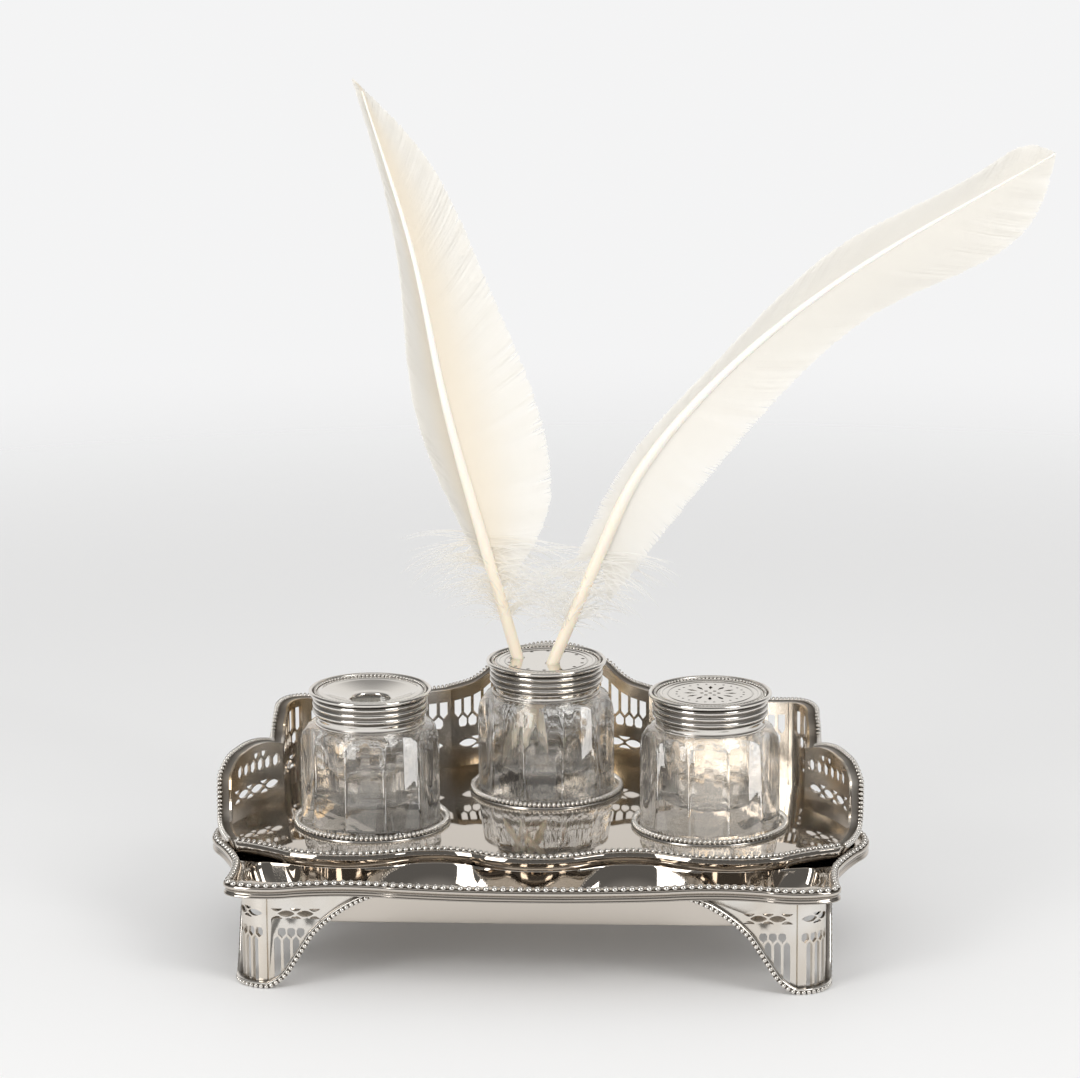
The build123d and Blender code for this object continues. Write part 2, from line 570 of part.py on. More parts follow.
def make_bottle(x, y):
    """A fluted glass bottle, its cement and its silver collar."""
    collar_bore = COLLAR_RADIUS - COLLAR_WALL
    shoulder = [(BOTTLE_RADIUS - inward, SHOULDER_FOOT + up) for inward, up in [(0, 0)] + SHOULDER_BENDS]
    outside = [(0, 0), (BOTTLE_RADIUS - 1, 0), (BOTTLE_RADIUS, 1)] + shoulder
    outside += [(COLLAR_RADIUS - 0.4, SHOULDER_TOP), (NECK_RADIUS, SHOULDER_TOP), (NECK_RADIUS, NECK_TOP),
                (0, NECK_TOP)]
    well_top = SHOULDER_FOOT + 1
    inside = [(0, WELL_FLOOR), (WELL_RADIUS - 3, WELL_FLOOR), (WELL_RADIUS, WELL_FLOOR + 3),
              (WELL_RADIUS, well_top), (NECK_BORE, SHOULDER_TOP + 1), (NECK_BORE, NECK_TOP + 1),
              (0, NECK_TOP + 1)]
    half_angle = pi / FLUTE_COUNT
    half_width = BOTTLE_RADIUS * sin(half_angle)
    sagitta = FLUTE_DEPTH - BOTTLE_RADIUS * (1 - cos(half_angle))
    cutter = (half_width ** 2 + sagitta ** 2) / (2 * sagitta)
    glass = turned(outside, x, y)
    for i in range(FLUTE_COUNT):
        angle = 2 * half_angle * i - pi / 2
        reach = BOTTLE_RADIUS - FLUTE_DEPTH + cutter
        height = SHOULDER_TOP - FLUTE_FOOT
        post = Cylinder(cutter, height, align=(Align.CENTER, Align.CENTER, Align.MIN))
        glass -= Pos(x + reach * cos(angle), y + reach * sin(angle), PLATFORM_TOP + FLUTE_FOOT) * post
    glass -= turned(inside, x, y)
    cement = turned([(NECK_RADIUS, SHOULDER_TOP), (collar_bore, SHOULDER_TOP), (collar_bore, CEMENT_TOP),
                     (NECK_RADIUS, CEMENT_TOP)], x, y)
    collar = turned([(collar_bore, SHOULDER_TOP), (COLLAR_RADIUS, SHOULDER_TOP), (COLLAR_RADIUS, COLLAR_TOP),
                     (collar_bore, COLLAR_TOP)], x, y)
    for i in range(REED_COUNT):
        height = PLATFORM_TOP + REED_FOOT + (2 * i + 1) * REED_RADIUS
        collar += Pos(x, y, height) * Torus(COLLAR_RADIUS, REED_RADIUS)
    return {"glass": glass, "cement": cement, "collar": collar}


def make_ring(x, y):
    """The ring on the platform that keeps a bottle in its place."""
    bore = BOTTLE_RADIUS + RING_CLEARANCE
    edge = bore + RING_WIDTH
    soft = RING_WIDTH / 4
    shoulder = RING_HEIGHT - soft
    return turned([(bore, 0), (edge, 0), (edge, shoulder), (edge - soft, RING_HEIGHT),
                   (bore + soft, RING_HEIGHT), (bore, shoulder)], x, y)


def make_lid_rim(x, y):
    """A lid's rim and the skirt that slips inside the collar."""
    skirt_edge = COLLAR_RADIUS - COLLAR_WALL - LID_CLEARANCE
    skirt_bore = skirt_edge - LID_SKIRT_WALL
    plate_radius = LID_RIM_RADIUS - LID_RIM_WIDTH
    top = COLLAR_TOP + LID_RIM_HEIGHT
    plate_foot = top - PLATE_RECESS - PLATE_THICKNESS
    return turned([(skirt_bore, COLLAR_TOP - LID_SKIRT_DEPTH), (skirt_edge, COLLAR_TOP - LID_SKIRT_DEPTH),
                   (skirt_edge, COLLAR_TOP), (LID_RIM_RADIUS - 0.5, COLLAR_TOP),
                   (LID_RIM_RADIUS, COLLAR_TOP + 0.5), (LID_RIM_RADIUS, top - 0.5),
                   (LID_RIM_RADIUS - 0.5, top), (plate_radius, top),
                   (plate_radius, plate_foot), (skirt_bore, plate_foot)], x, y)


def plate_blank(x, y):
    """A flat lid plate."""
    top = COLLAR_TOP + LID_RIM_HEIGHT - PLATE_RECESS
    radius = LID_RIM_RADIUS - LID_RIM_WIDTH
    return turned([(0, top - PLATE_THICKNESS), (radius, top - PLATE_THICKNESS), (radius, top), (0, top)], x, y)


def make_dished_plate(x, y):
    """The plate of the ink bottle's lid: a shallow dish with a hole for the pen in its middle."""
    top = COLLAR_TOP + LID_RIM_HEIGHT - PLATE_RECESS
    radius = LID_RIM_RADIUS - LID_RIM_WIDTH
    lip = COLLAR_RADIUS - COLLAR_WALL - LID_CLEARANCE - LID_SKIRT_WALL - DISH_MARGIN
    return turned([(radius, top), (lip, top), (DISH_HOLE_RADIUS, top - DISH_DEPTH),
                   (DISH_HOLE_RADIUS, top - DISH_DEPTH - PLATE_THICKNESS), (lip, top - PLATE_THICKNESS),
                   (radius, top - PLATE_THICKNESS)], x, y)


def drill_ring(x, y, circle, count, radius, turn=0.0):
    """A ring of drills through a lid plate; turn is the share of a step by which the ring is turned."""
    drills = []
    for i in range(count):
        angle = 2 * pi * (i + turn) / count
        place = Pos(x + circle * cos(angle), y + circle * sin(angle), PLATFORM_TOP + COLLAR_TOP)
        drills.append(place * Cylinder(radius, 4 * PLATE_THICKNESS))
    return drills


def make_sprinkler_plate(x, y):
    """The plate of the pounce pot's lid, with small holes inside and outside a ring of petals."""
    drills = []
    for circle, count in SPRINKLER_RINGS:
        drills += drill_ring(x, y, circle, count, SPRINKLER_HOLE_RADIUS)
    drills += drill_ring(x, y, DOT_CIRCLE, 2 * PETAL_COUNT, DOT_RADIUS, 0.5)
    foot, widest, tip = PETAL_FOOT, PETAL_FOOT + PETAL_LENGTH * 0.6, PETAL_FOOT + PETAL_LENGTH
    corners = [(foot, 0), (widest, -PETAL_WIDTH / 2), (tip, 0), (widest, PETAL_WIDTH / 2)]
    petal = extrude(hole(corners, lambda a, b: (a, b)), amount=2 * PLATE_THICKNESS, both=True)
    for i in range(PETAL_COUNT):
        drills.append(Pos(x, y, PLATFORM_TOP + COLLAR_TOP) * Rot(0, 0, 360 * i / PETAL_COUNT) * petal)
    return plate_blank(x, y) - drills


def make_quill_plate(x, y, shafts):
    """The plate of the middle lid, with a hole for each quill and a ring of small holes."""
    drills = drill_ring(x, y, QUILL_PLATE_HOLE_CIRCLE, QUILL_PLATE_HOLES, SPRINKLER_HOLE_RADIUS, 0.5)
    return plate_blank(x, y) - drills - shafts


def quill_points(line):
    """A quill's centre line with its foot added, just clear of the well's floor."""
    entry, bend = line[0], line[1]
    slope = (bend[0] - entry[0]) / (bend[1] - entry[1])
    foot = PLATFORM_TOP + WELL_FLOOR + QUILL_FOOT_CLEARANCE
    return [(entry[0] + slope * (foot - entry[1]), foot)] + line[1:]


def make_quill(line, near, far, plane_y):
    """A quill's shaft, cut to a nib at its foot, its vane, and the path of the shaft through the lid."""
    points = quill_points(line)
    foot, bend = Vector(points[0][0], plane_y, points[0][1]), Vector(points[1][0], plane_y, points[1][1])
    axis = (bend - foot).normalized()
    barrel_foot = foot + axis * NIB_LENGTH
    bends = [Vector(x, plane_y, z) for x, z in points[1:]]
    curve = Spline(*bends, tangents=[axis, (bends[-1] - bends[-2]).normalized()])
    stations = [(foot, axis, NIB_RADIUS), (barrel_foot, axis, QUILL_RADIUS), (bend, axis, QUILL_RADIUS)]
    sections = []
    for place, heading, radius in stations:
        sections.append(Plane(origin=place, x_dir=(0, 1, 0), z_dir=heading) * Circle(radius))
    shaft = loft(sections[:2], ruled=True) + loft(sections[1:], ruled=True)
    upper = [sections[-1]]
    steps = 5
    for i in range(1, steps + 1):
        share = i / steps
        radius = QUILL_RADIUS + (QUILL_TIP_RADIUS - QUILL_RADIUS) * share
        upper.append(Plane(origin=curve @ share, x_dir=(0, 1, 0), z_dir=curve % share) * Circle(radius))
    shaft = shaft + loft(upper)
    outline = [Line(near[0], far[0]), Spline(*near), Spline(*far)]
    drawing = make_face(outline)
    vane = extrude(Plane(origin=(0, plane_y, 0), x_dir=(1, 0, 0), z_dir=(0, -1, 0)) * drawing,
                   amount=VANE_THICKNESS / 2, both=True)
    drill_plane = Plane(origin=foot, x_dir=(0, 1, 0), z_dir=axis)
    drill = extrude(drill_plane * Circle(QUILL_RADIUS + QUILL_HOLE_CLEARANCE), amount=(bend - foot).length)
    return shaft, vane - shaft, drill


def make_nodes():
    """Every piece of the inkstand by name."""
    nodes = {}
    tray, rim, ground = make_tray()
    nodes["tray"] = tray
    border_end = ground.mitres[len(FRONT_POINTS) - 1]
    nodes["rim_moulding"], nodes["platform_border"] = make_mouldings(rim, border_end)
    nodes.update(make_gallery(border_end))
    for name, corner, headings in (("front", FRONT_FOOT_CORNER, FRONT_FOOT_HEADINGS),
                                   ("back", BACK_FOOT_CORNER, BACK_FOOT_HEADINGS)):
        sheet, flange = make_foot(corner, headings)
        nodes[f"foot_{name}_right"] = sheet
        nodes[f"foot_{name}_left"] = mirror_right(sheet)
        nodes[f"foot_{name}_border_right"] = flange
        nodes[f"foot_{name}_border_left"] = mirror_right(flange)
    places = {"left": (-SIDE_BOTTLE_X, SIDE_BOTTLE_Y), "centre": (0, CENTRE_BOTTLE_Y),
              "right": (SIDE_BOTTLE_X, SIDE_BOTTLE_Y)}
    for name, (x, y) in places.items():
        nodes[f"bottle_ring_{name}"] = make_ring(x, y)
        for piece, solid in make_bottle(x, y).items():
            nodes[f"bottle_{piece}_{name}"] = solid
        nodes[f"lid_rim_{name}"] = make_lid_rim(x, y)
    front_plane = CENTRE_BOTTLE_Y - QUILL_PLANE_GAP / 2
    back_plane = CENTRE_BOTTLE_Y + QUILL_PLANE_GAP / 2
    left = make_quill(LEFT_QUILL, LEFT_VANE_NEAR, LEFT_VANE_FAR, back_plane)
    right = make_quill(RIGHT_QUILL, RIGHT_VANE_NEAR, RIGHT_VANE_FAR, front_plane)
    nodes["quill_shaft_left"], nodes["quill_vane_left"] = left[:2]
    nodes["quill_shaft_right"], nodes["quill_vane_right"] = right[:2]
    nodes["lid_plate_left"] = make_dished_plate(*places["left"])
    nodes["lid_plate_right"] = make_sprinkler_plate(*places["right"])
    nodes["lid_plate_centre"] = make_quill_plate(*places["centre"], [left[2], right[2]])
    return nodes


os.makedirs("parts", exist_ok=True)
for node, piece in make_nodes().items():
    export_step(Pos(*TRAY_MIDDLE) * piece, f"parts/{node}.step")
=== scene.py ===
"""Dresses the desk inkstand: polished silver with beaded borders, cut glass and goose quills."""

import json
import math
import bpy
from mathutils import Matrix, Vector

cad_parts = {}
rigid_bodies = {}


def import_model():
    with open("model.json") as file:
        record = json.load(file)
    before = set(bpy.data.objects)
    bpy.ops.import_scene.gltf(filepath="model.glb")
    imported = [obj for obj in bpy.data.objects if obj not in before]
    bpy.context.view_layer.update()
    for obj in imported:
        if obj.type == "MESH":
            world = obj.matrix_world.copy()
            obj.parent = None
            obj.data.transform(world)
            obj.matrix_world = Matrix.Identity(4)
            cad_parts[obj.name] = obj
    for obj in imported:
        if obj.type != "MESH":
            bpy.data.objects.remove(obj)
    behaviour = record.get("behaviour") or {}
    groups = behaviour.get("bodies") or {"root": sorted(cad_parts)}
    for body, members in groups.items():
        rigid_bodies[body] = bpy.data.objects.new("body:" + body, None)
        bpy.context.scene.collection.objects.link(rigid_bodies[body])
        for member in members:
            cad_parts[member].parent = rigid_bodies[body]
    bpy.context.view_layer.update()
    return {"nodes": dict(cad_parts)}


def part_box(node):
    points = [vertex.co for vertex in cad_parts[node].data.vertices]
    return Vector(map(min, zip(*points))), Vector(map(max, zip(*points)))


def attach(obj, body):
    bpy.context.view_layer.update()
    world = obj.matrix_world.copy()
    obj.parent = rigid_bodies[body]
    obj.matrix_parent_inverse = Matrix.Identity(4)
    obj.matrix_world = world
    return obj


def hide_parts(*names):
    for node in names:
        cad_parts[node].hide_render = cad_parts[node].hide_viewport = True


bl_info = {
    "name": "Desk Inkstand",
    "version": (1, 0, 0),
    "blender": (4, 5, 0),
    "location": "View3D > Sidebar > Inkstand",
    "description": "Builds a silver desk inkstand with cut-glass bottles and two quill pens",
    "category": "Add Mesh",
}

import bmesh
import bpy
import numpy as np
from mathutils import Matrix, Vector
from mathutils.geometry import delaunay_2d_cdt

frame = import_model()
NODES = frame["nodes"]

MM = 0.001
UP = Vector((0, 0, 1))
LOCKS = 26.0  # how many locks a vane parts into, at most
WELD, CAD_WELD = 1e-6, 2e-6  # how near to each other points are joined, in metres
STRAIGHT = 1e-6  # the turn, in radians, below which an arc counts as straight
WELLS = {"left": (-68.8, -8.0), "centre": (0.0, 41.2), "right": (68.8, -8.0)}

# heights above the table and plan outlines, in millimetres, right half from the front to the back
RIM_SHEET_TOP, PLATFORM_TOP, TROUGH_FLOOR_Z, SHEET = 42.6, 47.5, 26.6, 1.2
MARGIN = 1.2  # how far the tray's sheets reach past the middle lines of their borders
# how long the steps along outlines are, and how many there are round a bottle's axis
RIM_STEP, SWEEP_STEP, FINE_STEP, CREST_STEP, TURN_STEPS = 2.5, 2.0, 1.5, 1.2, 96
# how the platform drops to the rim sheet: outwards of its line and height
PLATFORM_EDGE = ((1.25, RIM_SHEET_TOP), (0.15, PLATFORM_TOP - 0.15), (0.05, PLATFORM_TOP - 0.04),
                 (-0.1, PLATFORM_TOP))
RIM = [(53, -82.5), (93, -82.5), (115, -82.8), (119, -77.5), (118.6, -52), (127, -29), (130, -8),
       (113.8, 17.5), (113.2, 42), (103, 56.5), (45, 77)]
RIM_BULGES = [-2.4, 2.0, 1.2, -0.8, -0.6, 2.2, 1.0, 1.2, 3.0, 2.0]
RIM_FRONT, RIM_BACK = 3.8, 15.6
FRONT = [(24, -51), (54, -51), (99, -51), (120.3, -38)]
FRONT_BULGES = [-3.6, 5.0, -0.8]
PLATFORM_FRONT, PLATFORM_BACK = 7.0, 15.0
SIDE_WALL, SIDE_WALL_BULGES = [(120.3, -38), (125.6, -14.5), (107.5, 15.5)], [1.2, 1.8]
CORNER_WALL, CORNER_WALL_BULGES = [(107.5, 15.5), (108, 38), (100.5, 50)], [1.0, 2.6]
WING_WALL, WING_WALL_BULGES = [(100.5, 50), (42, 70)], [2.0]
SIDE_CREST, SIDE_CREST_BULGES = [(0, 1.9), (13, 3.4), (18.6, 12), (34, 27.2)], [0.2, 1.6, -4.2, -1.9]
CORNER_CREST, CORNER_CREST_BULGES = [(0, 23.5), (11, 25.0), (16.5, 29)], [0.3, 0.9, -2.4]
CENTRE_CREST, CENTRE_CREST_BULGES = [(0, 34.4), (9, 35.6), (17.6, 41.7)], [0.2, 0.7]
CENTRE_PEAK_BULGE, WING_CREST_BULGE = -8.3, 1.8
CUSP_HEIGHT, CORNER_HEIGHT = 25.5, 35.5
TROUGH_MOUTH = [(53, -76.2), (93, -76.2), (104.5, -76.3), (112.8, -68.3), (112.8, -56), (106.8, -50.6),
                (98.5, -52.4), (54, -52.4), (24, -52.4)]
TROUGH_MOUTH_BULGES = [-2.4, 0.2, 2.0, 0.0, 1.8, 0.0, -5.0, 3.6]
TROUGH_FRONT, TROUGH_BACK, TROUGH_FLAT = 3.8, -7.0, 0.2
TROUGH_FLOOR = [(50, -72.5), (86, -72.5), (98, -72.4), (102, -69.5), (102, -67), (98, -64.5), (90, -64),
                 (54, -64), (24, -64)]
TROUGH_FLOOR_BULGES = [0.2, 0.2, 1.0, 0.2, 1.0, 0.2, 0.2, 0.2]
TROUGH_LEVELS, TROUGH_STEP = 26, 1.6
TROUGH_LIP, TROUGH_LIP_WIDTH = 0.12, 0.1
TROUGH_LEAN = 0.26  # how far the trough's walls lean inwards at once, against how far they curve in
FOOT_CURVE, FOOT_CURVE_BULGES = [(0, 0), (10, 8.8), (18, 21.5), (44.5, 38.8)], [1.2, 0.0, -2.3]
FEET = {"front": ((114.9, -78.4), (0.0, 90.0)), "back": ((110.6, 49.4), (90.0, 159.5))}
FOOT_CORNER_RADIUS, FOOT_TOP = 11.0, 38.75
# profiles as (outwards, upwards, painted shade), for bottles and lids from their axis and the platform; the
# third number darkens grooves and the channels under beads as painted shade
RIM_PROFILE = [(-1.0, 42.6, 0.3), (-1.0, 43.1, 0.1), (-0.85, 43.25, 0.3), (-0.7, 42.95, 0.9),
               (1.7, 42.9, 0.9), (1.8, 43.2, 0.5), (2.1, 43.3, 0), (2.35, 43.0, 0), (2.4, 42.5, 0),
               (2.3, 42.0, 0.05), (1.95, 41.6, 0.3), (1.5, 41.2, 0.6), (1.35, 40.7, 0.5),
               (1.5, 40.2, 0.25), (1.9, 39.8, 0.1), (2.2, 39.4, 0.1), (2.15, 38.95, 0.4), (1.9, 38.8, 0.5),
               (1.25, 38.8, 0.5), (1.2, 41.4, 0.5), (1.2, 42.6, 0.5)]
PLATFORM_PROFILE = [(-1.2, 47.5, 0.3), (-1.2, 47.9, 0.2), (-1.05, 48.0, 0.2), (-0.9, 47.7, 0.95),
                    (0.85, 47.7, 0.95), (1.0, 47.95, 0.2), (1.15, 47.9, 0.1), (1.2, 47.5, 0.4)]
CREST_PROFILE = [(0.5, -1.1, 0.7), (0.5, 0.0, 0.6), (3.1, 0.0, 0.85), (3.25, 0.2, 0.5), (3.45, -0.35, 1.0),
                 (5.0, -0.4, 1.0), (5.15, -0.5, 0.6), (5.15, -1.0, 0.3), (5.0, -1.1, 0.4)]
FOOT_PROFILE = [(0.6, 0.05, 0.5), (2.1, 0.05, 0.6), (2.2, 0.2, 0.9), (2.2, 1.65, 0.9), (2.5, 1.75, 0.3),
                (3.0, 1.9, 0), (3.1, 2.2, 0), (2.9, 2.5, 0), (2.3, 2.6, 0.3), (0.6, 2.6, 0.95)]
RING_PROFILE = [(29.4, 0, 0.6), (32.0, 0, 0.3), (32.0, 0.5, 0.1), (31.85, 0.65, 0.2), (31.7, 0.5, 0.9),
                (30.0, 0.5, 0.9), (29.8, 0.9, 0.1), (29.4, 0.8, 0.3)]
COLLAR_FOOT = [(20.6, 42.2, 0.5), (22.3, 42.2, 0.4), (22.55, 42.45, 0), (22.5, 42.85, 0),
               (22.1, 43.1, 0.5), (22.0, 43.6, 0.1), (22.05, 44.8, 0), (22.3, 45.4, 0.1),
               (22.2, 45.8, 0.7)]
COLLAR_REEDS, REED_RADIUS, REED_OUT, REED_UP = (47.45, 49.95, 52.45), 22.2, 1.25, 1.2
REED = ((-60, 0.8), (-40, 0.35), (-20, 0), (0, 0), (20, 0), (40, 0.35), (60, 0.8))  # angle and painted shade, darker in the valleys between the reeds
COLLAR_TOP = [(22.2, 53.8, 0.8), (22.0, 54.0, 0.8), (20.6, 54.0, 0.5)]
LID_EDGE = [(19.4, 48.0, 0.3), (20.3, 48.0, 0.3), (20.3, 54.0, 0.6), (23.6, 54.0, 0.8), (24.3, 54.15, 0.5),
            (24.8, 54.55, 0.1), (24.9, 55.1, 0), (24.75, 55.65, 0), (24.4, 55.95, 0), (24.0, 56.0, 0),
            (23.65, 55.8, 0.05), (23.4, 55.4, 0.3), (23.2, 54.95, 0.8), (22.9, 54.7, 0.9),
            (21.7, 54.7, 0.9), (21.4, 54.95, 0.3), (21.1, 55.0, 0), (20.9, 54.9, 0.5), (20.9, 54.05, 0.6),
            (19.4, 54.05, 0.6)]
LID_DISH = [(20.9, 55.0), (19.6, 55.0), (19.3, 55.2), (18.9, 55.2), (18.6, 54.95), (17.9, 54.9),
            (17.2, 54.6), (14.0, 53.4), (11.0, 52.4), (9.3, 51.9), (8.6, 51.9), (8.2, 51.6), (8.0, 51.0),
            (8.0, 50.4), (8.5, 50.5), (11.0, 51.4), (14.0, 52.4), (17.5, 53.8), (18.2, 54.0), (20.9, 54.0)]
LID_STEP = [(20.75, 55.0, 0.7), (20.6, 55.2, 0.2), (20.1, 55.4, 0), (19.6, 55.35, 0), (19.3, 55.1, 0.2),
            (19.2, 55.0, 0.8)]
LID_LEDGE = [(17.5, 55.0, 0.7), (17.35, 55.2, 0.1), (17.0, 55.2, 0.1), (16.8, 55.0, 0.8)]
# length, width and height of each kind of bead, in metres
RIM_BEAD, PLATFORM_BEAD = (0.0029, 0.0027, 0.0028), (0.0018, 0.0031, 0.0024)
CREST_BEAD, FOOT_BEAD = (0.0015, 0.0022, 0.0026), (0.0019, 0.0019, 0.0021)
RING_BEAD, LID_BEAD, LID_PITCH = (0.0018, 0.0023, 0.0026), (0.0014, 0.0013, 0.0014), 0.0016
# where the beads lie: outwards and upwards of their line, or radius, height and points round a bottle's axis
RIM_BEAD_LINE, PLATFORM_BEAD_LINE = (0.5, 43.75), (0, 48.2)
CREST_BEAD_LINE, FOOT_BEAD_LINE = (4.3, 0.05), (2.45, 0.92)
RING_BEAD_LINE, LID_BEAD_LINE = (30.8, 1.5, 150), (22.3, 55.05, 120)
# radii of a quill's barrel by distance from the nib, then how its curve thins out towards the tip
HORN_RADIUS, HORN_TIP_RADIUS, HORN_THINNING, HORN_SIDES = 2.5, 0.45, 0.8, 20
SHAFT_POINTS, VANE_POINTS, VANE_START = 60, 80, 14
BARREL = {0: 0.35, 0.6: 0.6, 3: 1.2, 6: 1.9, 9: 2.4, **dict.fromkeys((12, 20, 40, 60, 80), HORN_RADIUS)}
# how the barbs of the vane and the loose strands of down below it grow
VANE = {"Lean": 0.45, "Tilt": 0.35, "Taper": 0.55, "Part": 0.014, "Fluff": 0.00025, "Stretch": 0.02}
DOWN = {"Width": 0.0003, "Lean": 0.0, "Tilt": 0.3, "Taper": 0.7, "Part": 0.5, "Fluff": 0.011, "Stretch": 0.4}
VANE_BOW, DOWN_BOW, DOWN_SEEDS = 0.10, 0.35, {-1: 57, 1: 41}
# along the barrel: distance from the nib, and the share of the down's spread and its rise there
DOWN_PLACES = ((62, 0.5, 12), (72, 0.625, 6), (82, 0.75, 0), (92, 0.875, -6), (102, 1.0, -12))
QUILLS = {
    "left": {
        "plane": 45.4, "seed": 11, "down": 30,
        "shaft": [(0.48, 57.3), (-25.5, 151.0), (-43.0, 218.5), (-53.0, 269.0), (-73.6, 339.0)],
        "near": [(-29.5, 147), (-54.5, 210.5), (-59, 261), (-73.6, 331), (-77.6, 344)],
        "far": [(-18.5, 131.5), (1.5, 166.5), (1.5, 189.5), (-23.5, 261), (-48.5, 313), (-77.6, 344)],
    },
    "right": {
        "plane": 37.0, "seed": 29, "down": 26,
        "shaft": [(-16.28, 57.3), (29.5, 165.5), (61.5, 212.5), (125.0, 267.0), (205.5, 315.2)],
        "near": [(12, 145.5), (29, 181.5), (70, 229.5), (122, 279), (181, 311.4), (196, 318.8),
                 (206, 315.4)],
        "far": [(26.5, 128.5), (49.5, 158.5), (93.5, 212.5), (142.5, 254.5), (197, 287.6), (206, 315.4)],
    },
}


def tray_middle():
    """Where the tray's middle lies in the frame; the ring of the middle bottle is straight behind it."""
    low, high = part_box("bottle_ring_centre")
    return Vector(((low[0] + high[0]) / 2, (low[1] + high[1]) / 2 - WELLS["centre"][1] * MM, 0))


MIDDLE = tray_middle()


def metres(point):
    """A point drawn in millimetres round the tray's middle, in the frame's metres."""
    return MIDDLE.x + point[0] * MM, MIDDLE.y + point[1] * MM, point[2] * MM


# ---------------------------------------------------------------- settings

class SilverSettings(bpy.types.PropertyGroup):
    """Colours and wear of the silver."""

    bright: bpy.props.FloatVectorProperty(
        name="Silver", description="Colour of the polished silver",
        default=(0.81, 0.78, 0.735), size=3, min=0, max=1, subtype="COLOR")
    tarnish: bpy.props.FloatVectorProperty(
        name="Tarnish", description="Colour where the silver has darkened",
        default=(0.26, 0.19, 0.125), size=3, min=0, max=1, subtype="COLOR")
    polish: bpy.props.FloatProperty(
        name="Roughness", description="Roughness of the polished faces",
        default=0.09, min=0, max=1, subtype="FACTOR")


class BeadSettings(bpy.types.PropertyGroup):
    """Sizes of the beading."""

    rim_pitch: bpy.props.FloatProperty(
        name="Rim pitch", description="Distance between the beads of the outer rim",
        default=0.00335, min=0.001, max=0.01, unit="LENGTH")
    border_pitch: bpy.props.FloatProperty(
        name="Platform pitch", description="Distance between the slanted beads along the platform",
        default=0.0026, min=0.001, max=0.01, unit="LENGTH")
    crest_pitch: bpy.props.FloatProperty(
        name="Gallery pitch", description="Distance between the beads on the gallery's crest",
        default=0.0017, min=0.0008, max=0.01, unit="LENGTH")
    foot_pitch: bpy.props.FloatProperty(
        name="Foot pitch", description="Distance between the beads round a foot",
        default=0.0021, min=0.0008, max=0.01, unit="LENGTH")
    ring_pitch: bpy.props.FloatProperty(
        name="Ring pitch", description="Distance between the beads of a bottle's ring",
        default=0.0020, min=0.0008, max=0.01, unit="LENGTH")
    slant: bpy.props.FloatProperty(
        name="Slant", description="Turn of the platform's beads away from its edge",
        default=math.radians(38), min=-1.5, max=1.5, subtype="ANGLE")


class QuillSettings(bpy.types.PropertyGroup):
    """Sizes and colours of the feathers."""

    barbs: bpy.props.IntProperty(
        name="Barbs", description="Number of barbs on each side of a feather", default=420, min=50, max=900)
    barb_width: bpy.props.FloatProperty(
        name="Barb width", description="Width of a barb where it leaves the shaft",
        default=0.0013, min=0.0002, max=0.004, unit="LENGTH")
    down: bpy.props.IntProperty(
        name="Down", description="Number of loose strands at the foot of a feather",
        default=150, min=0, max=600)
    ivory: bpy.props.FloatVectorProperty(
        name="Ivory", description="Colour of the shaft and of the vane beside it",
        default=(0.94, 0.85, 0.70), size=3, min=0, max=1, subtype="COLOR")
    white: bpy.props.FloatVectorProperty(
        name="White", description="Colour of the vane at its edges",
        default=(0.96, 0.945, 0.91), size=3, min=0, max=1, subtype="COLOR")


class GlassSettings(bpy.types.PropertyGroup):
    """Look of the cut glass."""

    tint: bpy.props.FloatVectorProperty(
        name="Tint", description="Colour of the glass",
        default=(0.99, 0.985, 0.975), size=3, min=0, max=1, subtype="COLOR")
    clear: bpy.props.FloatProperty(
        name="Clearness", description="How much of what is behind shows through straight",
        default=0.25, min=0, max=1, subtype="FACTOR")


class StageSettings(bpy.types.PropertyGroup):
    """The plain studio round the inkstand."""

    floor: bpy.props.FloatVectorProperty(
        name="Floor", description="Colour of the floor and the backdrop",
        default=(0.90, 0.90, 0.90), size=3, min=0, max=1, subtype="COLOR")
    softbox: bpy.props.FloatProperty(
        name="Softboxes", description="Power of each softbox", default=9.6, min=0, max=500, unit="POWER")
    world: bpy.props.FloatProperty(
        name="Room", description="Strength of the even light from the room", default=0.68, min=0, max=5)


class InkstandSettings(bpy.types.PropertyGroup):
    """Everything a user may change."""

    silver: bpy.props.PointerProperty(type=SilverSettings)
    beads: bpy.props.PointerProperty(type=BeadSettings)
    quills: bpy.props.PointerProperty(type=QuillSettings)
    glass: bpy.props.PointerProperty(type=GlassSettings)
    stage: bpy.props.PointerProperty(type=StageSettings)


# ---------------------------------------------------------------- shapes

def turned(vector, angle):
    """A plan vector turned about the vertical."""
    return Matrix.Rotation(angle, 2) @ vector


